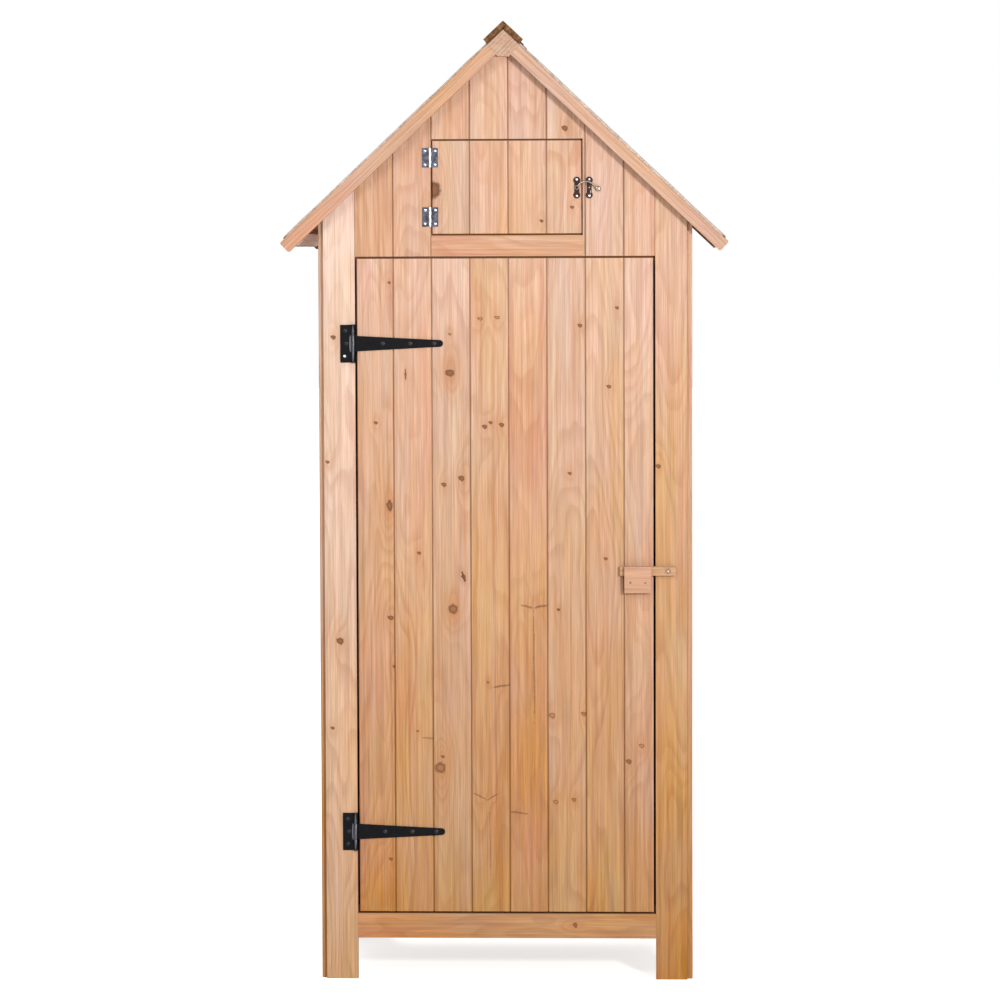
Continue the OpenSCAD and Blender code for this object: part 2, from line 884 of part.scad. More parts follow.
module door_braces() {
    foot = brace_foot * ledge_w;
    color(warm_fir) for (i = [0, 1]) {
        z0 = ledge_z[i] + ledge_w / 2;
        z1 = ledge_z[i + 1] - ledge_w / 2;
        plate(door_back, door_back + ledge_t) polygon([[-ledge_x, z0], [foot - ledge_x, z0],
            [ledge_x, z1], [ledge_x - foot, z1]]);
    }
}

// Hatch

module hatch_boards() {
    last = hatch_seam + hatch_board_count - 1;
    color(pale_fir) translate([0, face_y, 0]) for (i = [hatch_seam : last]) {
        a = max(seam_x0 + i * board_pitch, hatch_x0);
        b = min(seam_x0 + (i + 1) * board_pitch, hatch_x1);
        standing_board(a, b, door_t, hatch_z0, hatch_z1, i > hatch_seam, i < last);
    }
}

module hatch_ledges() {
    low = head_rail_z1 + ledge_clear;
    high = hatch_z1 - stop_lap - ledge_clear - hatch_ledge_w;
    color(warm_fir) for (z = [low, high])
        block([hatch_x0 + stop_lap, door_back, z],
            [hatch_x1 - stop_lap, door_back + hatch_ledge_t, z + hatch_ledge_w]);
}

// Hook and keeper, drawn in X and Z from the hook's pivot

module at_hook() {
    translate([hook_x, 0, hook_z]) children();
}

// A plate with a round lobe for a screw at each end
module lobed_plate() {
    lobe = hook_plate_w / 2;
    for (s = [-1, 1]) translate([0, s * (hook_plate_h / 2 - lobe)]) circle(lobe);
    square([hook_waist, hook_plate_h - hook_plate_w], center = true);
}

module plate_screws() {
    for (s = [-1, 1]) screw_head(0, hook_plate_y, s * hook_screw_out, hook_screw_r);
}

module peg(y0, length, r) {
    translate([0, y0, 0]) rotate([90, 0, 0]) cylinder(h = length, r = r);
}

module hook_plate() {
    color(bronze) at_hook() {
        plate(hook_plate_y, face_y) lobed_plate();
        peg(hook_plate_y, hook_lift + hook_arm_t + slide_gap, hook_pin_r);
        peg(hook_y - hook_arm_t - slide_gap, hook_head_t, hook_pin_r + hook_head_t);
        plate_screws();
    }
}

module hook_keeper() {
    color(bronze) at_hook() translate([keeper_x, 0, 0]) {
        plate(hook_plate_y, face_y) lobed_plate();
        translate([0, 0, peg_z]) peg(hook_plate_y, peg_l, peg_r);
        plate_screws();
    }
}

// The arm: a ring cut to its upper part, an eye on the pivot and a round tip
module hook_arm() {
    intersection() {
        translate([hook_arc_x, hook_arc_z]) difference() {
            circle(hook_arc_r + hook_arm_w / 2);
            circle(hook_arc_r - hook_arm_w / 2);
        }
        translate([-hook_boss_r, 0]) square([hook_neck[0] + hook_boss_r, hook_arc_r]);
    }
}

module hook_neck_outline() {
    polygon([hook_neck - hook_arm_w * [0.65, 0.5], hook_neck + hook_arm_w * [0.15, 0.6],
        hook_tip + hook_tip_r * [0.3, 0.9], hook_tip - hook_tip_r * [0.7, 0.6]]);
}

module hook() {
    y0 = hook_y - hook_arm_t;
    color(bronze) at_hook() difference() {
        union() {
            plate(y0, hook_y) hook_arm();
            plate(y0, hook_y) hook_neck_outline();
            peg(hook_y, hook_arm_t, hook_boss_r);
            translate([hook_tip[0], 0, hook_tip[1]]) peg(hook_y, hook_arm_t, hook_tip_r);
        }
        peg(hook_y + cut, hook_arm_t + 2 * cut, hook_pin_r + pin_fit);
    }
}

// Wooden latch

module latch_bar() {
    color(pale_fir) difference() {
        block([bar_x + bar_tail - bar_l, bar_y - bar_t, bar_z - bar_h / 2],
            [bar_x + bar_tail, bar_y, bar_z + bar_h / 2]);
        translate([bar_x, 0, bar_z]) peg(bar_y + cut, bar_t + 2 * cut, bar_screw_r + pin_fit);
    }
}

module latch_pivot_screw() {
    color(zinc) {
        translate([bar_x, 0, bar_z]) peg(face_y, bar_t + 2 * slide_gap, bar_screw_r);
        translate([bar_x, 0, bar_z]) peg(bar_y - bar_t - slide_gap, screw_head_t, screw_head_r);
    }
}

module latch_keeper_spacer() {
    color(pale_fir) block([keeper_x1 - keeper_w, face_y - spacer_t, keeper_z1 - keeper_h],
        [keeper_x1, face_y, bar_z - bar_h / 2 - slide_gap]);
}

module latch_keeper_cover() {
    color(pale_fir) block(
        [keeper_x1 - keeper_w, face_y - spacer_t - keeper_t, keeper_z1 - keeper_h],
        [keeper_x1, face_y - spacer_t, keeper_z1]);
}

front_post_left();
front_post_right();
bottom_rail();
mid_rail();
gable_boards();
side_boards_left();
side_boards_right();
back_boards();
side_frame_left();
side_frame_right();
back_rails();
front_rails();
gable_battens();
floor_boards();
floor_bearers();
loft_floor();
upper_shelf();
lower_shelf();
roof_boards_left();
roof_boards_right();
eave_battens();
roof_felt_left();
roof_felt_right();
ridge_beam();
ridge_cap();
front_barge_left();
front_barge_right();
rear_barges();
upper_hinge_plate();
lower_hinge_plate();
tee_hinge_pins();
hatch_hinge_fixed_leaves();
hatch_hinge_pins();
hatch_hinge_screws();
hook_keeper();
latch_pivot_screw();
frame_screws();
for (i = [0 : door_count - 1])
    door_board(i);
door_ledges();
door_braces();
upper_hinge_strap();
lower_hinge_strap();
door_screws();
latch_keeper_cover();
latch_keeper_spacer();
hatch_boards();
hatch_ledges();
hatch_hinge_moving_leaves();
hatch_screws();
hook_plate();
hook();
latch_bar();
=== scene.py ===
# %% [markdown]
# # A boarded garden tool locker
# The solids of the locker come from the CAD model and stay where they are. This lesson gives them
# the finish of the real thing: dip-treated fir boards with their knots, mineral roofing felt,
# japanned tee hinges, zinc-plated butt hinges and an antique-bronze hook. A few things that a
# solid can't show well, such as the felt's waves and the screws' crosses, are modelled here.

# %% The frame
import json
import math

import bpy
import numpy as np
from mathutils import Matrix, Vector


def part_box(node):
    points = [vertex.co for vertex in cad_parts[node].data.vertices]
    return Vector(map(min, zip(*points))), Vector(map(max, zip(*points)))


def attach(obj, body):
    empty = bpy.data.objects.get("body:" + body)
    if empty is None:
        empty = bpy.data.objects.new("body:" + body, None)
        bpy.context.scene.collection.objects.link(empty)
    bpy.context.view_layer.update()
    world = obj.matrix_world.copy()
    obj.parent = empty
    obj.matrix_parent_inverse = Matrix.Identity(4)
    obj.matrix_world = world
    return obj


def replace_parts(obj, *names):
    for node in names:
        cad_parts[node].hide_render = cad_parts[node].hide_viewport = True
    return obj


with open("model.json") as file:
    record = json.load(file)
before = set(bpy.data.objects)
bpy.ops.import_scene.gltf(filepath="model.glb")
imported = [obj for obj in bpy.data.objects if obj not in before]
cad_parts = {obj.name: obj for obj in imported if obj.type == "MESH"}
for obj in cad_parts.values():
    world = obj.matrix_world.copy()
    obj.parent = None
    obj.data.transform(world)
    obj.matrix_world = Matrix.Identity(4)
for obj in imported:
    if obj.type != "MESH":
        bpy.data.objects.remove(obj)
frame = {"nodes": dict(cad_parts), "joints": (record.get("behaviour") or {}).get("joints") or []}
nodes = frame["nodes"]
pivots = {joint["name"]: joint["pos_m"] for joint in frame["joints"]}
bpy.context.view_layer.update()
MM = 0.001


def middle(node):
    """Centre of a CAD node's box."""
    low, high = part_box(node)
    return (low + high) / 2


# %% [markdown]
# ## Camera
# A product picture of a tall thing is taken from far away with a long lens, so its upright lines
# stay upright. The place and the lens were found by fitting the corners of the locker to the
# picture. The camera stands a little to the right and looks down by three and a half degrees.

# %% Camera
camera = bpy.data.objects.new("camera", bpy.data.cameras.new("camera"))
camera.data.sensor_width = 36
camera.data.lens = 151.2
yaw, tilt, roll = (math.radians(a) for a in (2.36, 90 - 3.445, -0.199))
camera.matrix_world = (Matrix.Translation((0.2855, -7.3871, 1.2560)) @ Matrix.Rotation(yaw, 4, "Z")
                       @ Matrix.Rotation(tilt, 4, "X") @ Matrix.Rotation(roll, 4, "Z"))
bpy.context.scene.collection.objects.link(camera)
bpy.context.scene.camera = camera
print("camera at", tuple(camera.matrix_world.translation))

# %% [markdown]
# ## Tools for materials
# Colours are picked as sRGB hex values and turned to linear ones. Shaders could be wired by hand in
# the node editor; written down, they can be read from top to bottom. One helper adds a node, sets
# it and links it. Inputs whose names repeat go by number: Map Range takes its value as 0, the
# range it comes from as 1 and 2 and the one it goes to as 3 and 4. Mix takes its factor as 0, two
# numbers as 2 and 3, or two colours as 6 and 7, and gives the mixed colour as output 2.

# %% Colour and node helpers
def linear(code):
    """sRGB hex to linear RGBA: below 0.04045 a straight line, above it a power of 2.4."""
    c = np.array([int(code[i:i + 2], 16) for i in (1, 3, 5)]) / 255
    return (*np.where(c <= 0.04045, c / 12.92, ((c + 0.055) / 1.055) ** 2.4), 1.0)


def feed(tree, inputs, values):
    """Fills a node's inputs, by name or number, or in order from a list: a socket is linked, a
    number or a colour is set."""
    for name, value in values.items() if isinstance(values, dict) else enumerate(values):
        if isinstance(value, bpy.types.NodeSocket):
            tree.links.new(value, inputs[name])
        else:
            inputs[name].default_value = value


def add(tree, kind, values=None, **settings):
    """Adds one shader node with its values and its settings; a dot in its kind goes before a maths
    node's operation."""
    kind, _, operation = kind.partition(".")
    node = tree.nodes.new("ShaderNode" + kind)
    if operation:
        settings["operation"] = operation
    for name, value in settings.items():
        setattr(node, name, value)
    feed(tree, node.inputs, values or {})
    return node.outputs


def new_group(name, takes, gives):
    """A node group with its sockets; returns its tree, what it takes and what it gives."""
    tree = bpy.data.node_groups.new(name, "ShaderNodeTree")
    for words, way in ((takes, "INPUT"), (gives, "OUTPUT")):
        for word in words.split():
            label, kind = word.split(":")
            tree.interface.new_socket(label, in_out=way, socket_type="NodeSocket" + kind)
    taken = tree.nodes.new("NodeGroupInput").outputs
    return tree, taken, tree.nodes.new("NodeGroupOutput").inputs


def new_finish(name):
    """A new material; returns it with its node tree and its surface's inputs."""
    material = bpy.data.materials.new(name)
    material.use_nodes = True
    tree = material.node_tree
    return material, tree, tree.nodes["Principled BSDF"].inputs


# %% [markdown]
# ## Light and floor
# The picture is a cut-out on white. A panorama of a studio could light it, but lamps can be moved
# until each shadow falls as it should. The shadows are short and soft, to the left and a little
# down: a small soft lamp stands in front on the right, a little above the camera, a weaker and
# wider one stands higher on the left, a third lights the back, and white walls send the rest back.

# %% Lamps
def area_light(name, place, target, size, watts):
    """A round lamp size metres wide that stands at place and points at target."""
    light = bpy.data.lights.new(name, "AREA")
    light.shape, light.size, light.energy = "DISK", size, watts
    lamp = bpy.data.objects.new(name, light)
    aim = (Vector(target) - Vector(place)).to_track_quat("-Z", "Y")
    lamp.matrix_world = Matrix.Translation(place) @ aim.to_matrix().to_4x4()
    bpy.context.scene.collection.objects.link(lamp)


area_light("key", (1.65, -4.1, 1.5), (0, 0, 0.9), 0.4, 128)
area_light("fill", (-0.9, -3.3, 2.6), (0, 0, 1.0), 1.2, 30)
area_light("back", (-1.6, 4.2, 2.4), (0, 0, 0.9), 1.5, 75)

# %% Backdrop and floor
world = bpy.data.worlds.new("studio")
bpy.context.scene.world = world
bpy.context.scene.view_settings.view_transform = "Standard"
world.use_nodes = True
studio = world.node_tree
# The backdrop shows pure white; as a light it is a little dimmer
seen = add(studio, "LightPath")["Is Camera Ray"]
level = add(studio, "MapRange", {"Value": seen, "To Min": 0.55})[0]
feed(studio, studio.nodes["Background"].inputs, {"Color": (1, 1, 1, 1), "Strength": level})

mesh = bpy.data.meshes.new("floor")
mesh.from_pydata([(-30, -30, 0), (30, -30, 0), (30, 30, 0), (-30, 30, 0)], [], [(0, 1, 2, 3)])
floor = bpy.data.objects.new("floor", mesh)
bpy.context.scene.collection.objects.link(floor)

# Matt white paint, overexposed like the backdrop, but it throws back no more light than paint does
floor_paint, tree, surface = new_finish("studio_floor_paint")
seen = add(tree, "LightPath")["Is Camera Ray"]
glow = add(tree, "Math.MULTIPLY", [seen, 0.75])[0]
feed(tree, surface, {"Base Color": linear("#FBFBFA"), "Emission Color": linear("#FBFBFA"),
                     "Roughness": 0.9, "Emission Strength": glow})
floor.data.materials.append(floor_paint)
print("3 lamps, a backdrop and a floor")

# %% [markdown]
# ## How a board's grain is made
# A board is cut from a log, so its figure is the log's yearly rings seen in section: straight
# lines where the saw ran along the pith, flames where the pith leans. A picture of wood wrapped
# round a board would stretch at its ends and break at its corners, and stretched noise has no
# flames. So the rings are drawn in space, as the distance to a leaning, wandering pith, one for
# each board: wide pale early wood darkens to a thin late line and then breaks off. China fir
# grows fast, so a ring is 4 to 6 mm wide. Below, Point is in millimetres: x across the boards, y
# through them, z along the grain.

# %% Which board a point is on
# A board's number throws the dice for all that differs from one board to the next
grain, take, out = new_group("fir_grain",
    "Point:Vector Pitch:Float Width:Float Seed:Float Warp:Float Wander:Float",
    "Late:Float Fibre:Float Streak:Float Patch:Color Board:Color")
xyz = add(grain, "SeparateXYZ", [take["Point"]])
place = add(grain, "Math.DIVIDE", [xyz[0], take["Pitch"]])[0]
number = add(grain, "Math.FLOOR", [place])[0]
key = add(grain, "CombineXYZ", [number, take["Seed"]])[0]
dice = add(grain, "TexWhiteNoise", [key], noise_dimensions="3D")
throw = add(grain, "SeparateColor", [dice["Color"]])
start = add(grain, "Math.MULTIPLY", [number, take["Pitch"]])[0]
edge = add(grain, "Math.SUBTRACT", [xyz[0], start])[0]
half = add(grain, "Math.MULTIPLY", [take["Width"], 0.5])[0]
across = add(grain, "Math.SUBTRACT", [edge, half])[0]
local = add(grain, "CombineXYZ", [across, xyz[1], xyz[2]])[0]
shift = add(grain, "VectorMath.MULTIPLY", [dice["Color"], (900, 900, 3000)])[0]
own = add(grain, "VectorMath.ADD", [local, shift])[0]


def board_noise(size, detail=2.0, rough=0.5):
    """Noise of each board's own, with its cells size millimetres across, through and along."""
    point = add(grain, "VectorMath.DIVIDE", [own, size])[0]
    return add(grain, "TexNoise", {"Vector": point, "Scale": 1.0, "Detail": detail,
                                   "Roughness": rough})


# %% The pith and the rings round it
HALF = (0.5, 0.5, 0.5)
drift = add(grain, "VectorMath.SUBTRACT", [board_noise((110, 110, 520))["Color"], HALF])[0]
drift = add(grain, "VectorMath.MULTIPLY", [drift, (36, 90, 0)])[0]
drift = add(grain, "VectorMath.SCALE", {0: drift, "Scale": take["Wander"]})[0]
pith_spread = ((-26, 26), (14, 62), (-0.045, 0.045))      # aside and deep in mm, and its lean
side, depth, lean = (add(grain, "MapRange", {0: throw[i], 3: low, 4: high})[0]
                     for i, (low, high) in enumerate(pith_spread))
away = add(grain, "Math.MULTIPLY_ADD", [xyz[2], lean, depth])[0]
pith = add(grain, "CombineXYZ", [side, away])[0]
flat = add(grain, "VectorMath.MULTIPLY", [local, (1, 1, 0)])[0]
arm = add(grain, "VectorMath.ADD", [flat, pith])[0]
arm = add(grain, "VectorMath.ADD", [arm, drift])[0]
ring = add(grain, "VectorMath.LENGTH", [arm])["Value"]
waver = add(grain, "MapRange", {0: board_noise((15, 15, 95))["Fac"], 3: -1.6, 4: 1.6})[0]
ring = add(grain, "Math.MULTIPLY_ADD", [waver, take["Wander"], ring])[0]
ring = add(grain, "Math.ADD", [ring, take["Warp"]])[0]
year = add(grain, "MapRange", {0: dice["Value"], 3: 3.8, 4: 6.2})[0]
rings = add(grain, "Math.DIVIDE", [ring, year])[0]
phase = add(grain, "Math.FRACT", [rings])[0]

# %% Late wood, streaks and patches
rise = add(grain, "MapRange", {0: phase, 1: 0.25, 2: 0.9}, interpolation_type="SMOOTHERSTEP")[0]
fall = add(grain, "MapRange", {0: phase, 1: 0.9, 2: 1.0, 3: 1.0, 4: 0.0})[0]
band = add(grain, "Math.MULTIPLY", [rise, fall])[0]
count = add(grain, "Math.FLOOR", [rings])[0]
count = add(grain, "Math.MULTIPLY_ADD", [dice["Value"], 91.7, count])[0]
force = add(grain, "TexWhiteNoise", {"W": count}, noise_dimensions="1D")["Value"]
force = add(grain, "MapRange", {0: force, 3: 0.3, 4: 1.0})[0]
late = add(grain, "Math.MULTIPLY", [band, force])[0]
tinge = add(grain, "VectorMath.SUBTRACT", [board_noise((7, 7, 300))["Color"], HALF])[0]
tinge = add(grain, "VectorMath.SCALE", {0: tinge, "Scale": 0.6})[0]
patch = add(grain, "VectorMath.ADD", [board_noise((60, 60, 240))["Color"], tinge])[0]
feed(grain, out, {
    "Late": late, "Fibre": board_noise((2, 2, 90), 3.0, 0.65)["Fac"],
    "Streak": board_noise((5.5, 5.5, 420), 3.0, 0.6)["Fac"],
    "Patch": patch, "Board": dice["Color"]})
print("grain group:", len(grain.nodes), "nodes")

# %% [markdown]
# ## Knots
# A knot is a branch that the saw cut across: a brown core with its own fine rings, a dark rim of
# bark, and resin that tints the wood around it. The board's rings flow round it, and the smaller
# it is, the more ragged. It could be painted on the board, but then no ring would bend round it.
# Here one group holds one knot and hands on the nearest one so far, so a board's knots are a
# chain of groups. Near is the distance from the knot's middle in its own radii.

# %% One knot
CARRIED = "Near:Float Dark:Float Pale:Float Warp:Float Stain:Float"


def knot_core(tree, offset, size, reach, dark, pale, stain, before):
    """Joins one knot at offset (mm from its middle) to what came before; returns the new set."""
    lumps = add(tree, "VectorMath.MULTIPLY", [offset, (0.16, 0.16, 0.16)])[0]
    lumps = add(tree, "TexNoise", {"Vector": lumps, "Scale": 1.0, "Detail": 2.0})["Fac"]
    scaled = add(tree, "VectorMath.DIVIDE", [offset, size])[0]
    q = add(tree, "VectorMath.LENGTH", [scaled])["Value"]
    ragged = add(tree, "Math.DIVIDE", [8.0, reach])[0]
    ragged = add(tree, "Math.MINIMUM", [ragged, 2.0])[0]
    uneven = add(tree, "Math.SUBTRACT", [lumps, 0.5])[0]
    uneven = add(tree, "Math.MULTIPLY_ADD", [uneven, ragged, 1.0])[0]
    q = add(tree, "Math.MULTIPLY", [q, uneven])[0]
    nearer = add(tree, "Math.LESS_THAN", [q, before["Near"]])[0]
    near = add(tree, "Math.MINIMUM", [q, before["Near"]])[0]
    new = {"Near": near}
    for name, value in (("Dark", dark), ("Pale", pale)):
        new[name] = add(tree, "Mix", {0: nearer, 2: before[name], 3: value})[0]
    far = add(tree, "VectorMath.MULTIPLY", [offset, (1, 1, 0.42)])[0]
    far = add(tree, "VectorMath.LENGTH", [far])["Value"]
    wide = add(tree, "Math.MULTIPLY_ADD", [reach, 1.9, 2.5])[0]
    swell = add(tree, "Math.DIVIDE", [far, wide])[0]
    swell = add(tree, "Math.POWER", [swell, 2.0])[0]
    swell = add(tree, "Math.MULTIPLY", [swell, -1.0])[0]
    swell = add(tree, "Math.EXPONENT", [swell])[0]
    push = add(tree, "Math.MULTIPLY", [reach, 1.7])[0]
    new["Warp"] = add(tree, "Math.MULTIPLY_ADD", [swell, push, before["Warp"]])[0]
    tint = add(tree, "Math.MULTIPLY", [swell, stain])[0]
    new["Stain"] = add(tree, "Math.MAXIMUM", [tint, before["Stain"]])[0]
    return new


knot, take, out = new_group("fir_knot", "Point:Vector Place:Vector Size:Vector Turn:Float "
                            "Reach:Float Is_dark:Float Is_pale:Float Tint:Float " + CARRIED, CARRIED)
offset = add(knot, "VectorMath.SUBTRACT", [take["Point"], take["Place"]])[0]
offset = add(knot, "VectorMath.MULTIPLY", [offset, (1, 0, 1)])[0]
offset = add(knot, "VectorRotate", {"Vector": offset, "Angle": take["Turn"]},
             rotation_type="Y_AXIS")[0]
feed(knot, out, knot_core(knot, offset, take["Size"], take["Reach"], take["Is_dark"],
                          take["Is_pale"], take["Tint"], take))
print("knot group:", len(knot.nodes), "nodes")

# %% [markdown]
# The side, back and roof boards aren't in the picture, so their knots are strewn by chance: a
# cellular pattern gives each board one possible knot every 300 mm, and a throw of dice says
# whether it is there and how large it is.

# %% Strewn knots
strewn, take, out = new_group("fir_strewn_knots",
    "Point:Vector Pitch:Float Seed:Float Gap:Float " + CARRIED, CARRIED)
xyz = add(strewn, "SeparateXYZ", [take["Point"]])
column = add(strewn, "Math.DIVIDE", [xyz[0], take["Pitch"]])[0]
column_number = add(strewn, "Math.FLOOR", [column])[0]
jump = add(strewn, "Math.ADD", [column_number, take["Seed"]])[0]
jump = add(strewn, "TexWhiteNoise", {"W": jump}, noise_dimensions="1D")["Value"]
row = add(strewn, "Math.DIVIDE", [xyz[2], take["Gap"]])[0]
row = add(strewn, "Math.MULTIPLY_ADD", [jump, 40.0, row])[0]
row_number = add(strewn, "Math.FLOOR", [row])[0]
cell = add(strewn, "CombineXYZ", [column_number, row_number, take["Seed"]])[0]
dice = add(strewn, "TexWhiteNoise", [cell], noise_dimensions="3D")
throw = add(strewn, "SeparateColor", [dice["Color"]])
in_column = add(strewn, "Math.SUBTRACT", [column, column_number])[0]
in_row = add(strewn, "Math.SUBTRACT", [row, row_number])[0]
home_x = add(strewn, "MapRange", {0: throw[0], 3: 0.2, 4: 0.8})[0]
home_z = add(strewn, "MapRange", {0: throw[1], 3: 0.15, 4: 0.85})[0]
off_x = add(strewn, "Math.SUBTRACT", [in_column, home_x])[0]
off_x = add(strewn, "Math.MULTIPLY", [off_x, take["Pitch"]])[0]
off_z = add(strewn, "Math.SUBTRACT", [in_row, home_z])[0]
off_z = add(strewn, "Math.MULTIPLY", [off_z, take["Gap"]])[0]
offset = add(strewn, "CombineXYZ", {0: off_x, 2: off_z})[0]
there = add(strewn, "Math.GREATER_THAN", [dice["Value"], 0.45])[0]
radius = add(strewn, "MapRange", {0: throw[2], 3: 2.2, 4: 6.5})[0]
size = add(strewn, "CombineXYZ", [radius, 1.0, radius])[0]
chance_tint = add(strewn, "Math.MULTIPLY", [there, 0.5])[0]
reach = add(strewn, "Math.MULTIPLY", [there, radius])[0]
feed(strewn, out, knot_core(strewn, offset, size, reach, there, throw[0], chance_tint, take))
print("strewn knots group:", len(strewn.nodes), "nodes")

# %% [markdown]
# ## The timber's finish
# The boards were planed and dipped in a thin preservative: it leaves the fir matt, makes the pale
# early wood honey-coloured and the late lines a warm brown. Sawn ends drink more of it and turn
# darker. Each board has its own tint, and sunlight and resin leave pinkish and orange patches.
# Every piece could have colours of its own, but they all came out of one dip, so one group mixes
# them for all, and a piece chooses only how light it came out.

# %% Early and late wood
finish, take, out = new_group("fir_finish",
    "Late:Float Fibre:Float Streak:Float Patch:Color Board:Color Near:Float Dark:Float "
    "Pale:Float Stain:Float End:Float Up:Float Tone:Float",
    "Color:Color Roughness:Float Height:Float")
# Darker and more orange towards the bottom, paler and pinker towards the top
paler_upwards = add(finish, "MapRange", {0: take["Up"], 1: 0.1, 2: 1.35})[0]
early = add(finish, "Mix", {0: paler_upwards, 6: linear("#AB7B4B"), 7: linear("#C9A691")},
            data_type="RGBA")[2]
late_colour = add(finish, "Mix", {0: paler_upwards, 6: linear("#8A572D"), 7: linear("#AB7B5E")},
                  data_type="RGBA")[2]
line = add(finish, "MapRange", {0: take["End"], 1: 0.6, 2: 0.9, 3: 0.4, 4: 0.85})[0]
line = add(finish, "Math.MULTIPLY", [take["Late"], line])[0]
colour = add(finish, "Mix", {0: line, 6: early, 7: late_colour}, data_type="RGBA")[2]
soft_streak = add(finish, "MapRange", {0: take["Streak"], 1: 0.4, 2: 0.7, 3: 0.0, 4: 0.55})[0]
colour = add(finish, "Mix", {0: soft_streak, 6: colour, 7: late_colour}, data_type="RGBA")[2]

# %% Each board's own tint
patch = add(finish, "SeparateColor", [take["Patch"]])
board = add(finish, "SeparateColor", [take["Board"]])
board_spread = ((0.497, 0.503), (0.95, 1.07), (0.97, 1.03))      # of hue, richness, brightness
patch_spread = ((-0.017, 0.019), (0.78, 1.22), (0.92, 1.08))
hue, rich, bright = (add(finish, "MapRange", {0: board[i], 3: low, 4: high})[0]
                     for i, (low, high) in enumerate(board_spread))
hue_drift, rich_drift, bright_drift = (add(finish, "MapRange", {0: patch[i], 3: low, 4: high})[0]
                                       for i, (low, high) in enumerate(patch_spread))
hue = add(finish, "Math.ADD", [hue, hue_drift])[0]
rich = add(finish, "Math.MULTIPLY", [rich, rich_drift])[0]
# What came out of the dip paler is less yellow too
less = add(finish, "Math.SUBTRACT", [2.2, take["Tone"]])[0]
less = add(finish, "Math.DIVIDE", [less, 1.2])[0]
rich = add(finish, "Math.MULTIPLY", [rich, less])[0]
bright = add(finish, "Math.MULTIPLY", [bright, take["Tone"]])[0]
bright = add(finish, "Math.MULTIPLY", [bright, bright_drift])[0]
thread = add(finish, "MapRange", {0: take["Fibre"], 1: 0.25, 2: 0.75, 3: 0.8, 4: 1.2})[0]
bright = add(finish, "Math.MULTIPLY", [bright, thread])[0]
end_drink = add(finish, "MapRange", {0: take["End"], 1: 0.6, 2: 0.9, 3: 1.0, 4: 0.72})[0]
bright = add(finish, "Math.MULTIPLY", [bright, end_drink])[0]
colour = add(finish, "HueSaturation", {"Hue": hue, "Saturation": rich, "Value": bright,
                                       "Color": colour})[0]

# %% Resin, knots and fibres
resin = add(finish, "Math.MULTIPLY", [take["Stain"], 0.6])[0]
colour = add(finish, "Mix", {0: resin, 6: colour, 7: linear("#A4632F")}, data_type="RGBA")[2]
heart = add(finish, "Mix", {0: take["Pale"], 6: linear("#653A1E"), 7: linear("#A87040")},
            data_type="RGBA")[2]
rim = add(finish, "MapRange", {0: take["Near"], 1: 0.3, 2: 0.9, 4: 0.75},
          interpolation_type="SMOOTHSTEP")[0]
heart = add(finish, "Mix", {0: rim, 6: heart, 7: linear("#522F18")}, data_type="RGBA")[2]
inside = add(finish, "MapRange", {0: take["Near"], 1: 0.75, 2: 1.25, 3: 1.0, 4: 0.0},
             interpolation_type="SMOOTHSTEP")[0]
inside = add(finish, "Math.MULTIPLY", [inside, take["Dark"]])[0]
colour = add(finish, "Mix", {0: inside, 6: colour, 7: heart}, data_type="RGBA")[2]
matt = add(finish, "MapRange", {0: take["Fibre"], 3: 0.5, 4: 0.72})[0]
ridges = add(finish, "Math.MULTIPLY_ADD", [take["Late"], 0.5, take["Fibre"]])[0]
feed(finish, out, {"Color": colour, "Roughness": matt, "Height": ridges})
print("finish group:", len(finish.nodes), "nodes")

# %% [markdown]
# A board's material puts these groups together. It turns the point on the board so that its grain
# runs along z, passes it through the knots, and draws the rings bent round them.

# %% A board's wood

def lay(across, along, seam=0.0):
    """How boards lie: rows of the turning matrix are the directions across, through and along a
    board, and seam is where, in millimetres across, a board begins."""
    across, along = Vector(across).normalized(), Vector(along).normalized()
    return Matrix((across, along.cross(across), along)), seam


def knot_at(x, z, rx, rz=None, turn=0, dark=1.0, pale=0.3, tint=0.5):
    """A knot's middle and radii in millimetres on the face, and how dark, pale and stained."""
    return x, z, rx, rz or rx, turn, dark, pale, tint


ONE_BOARD = 1000.0      # a pitch that leaves no seam within the piece


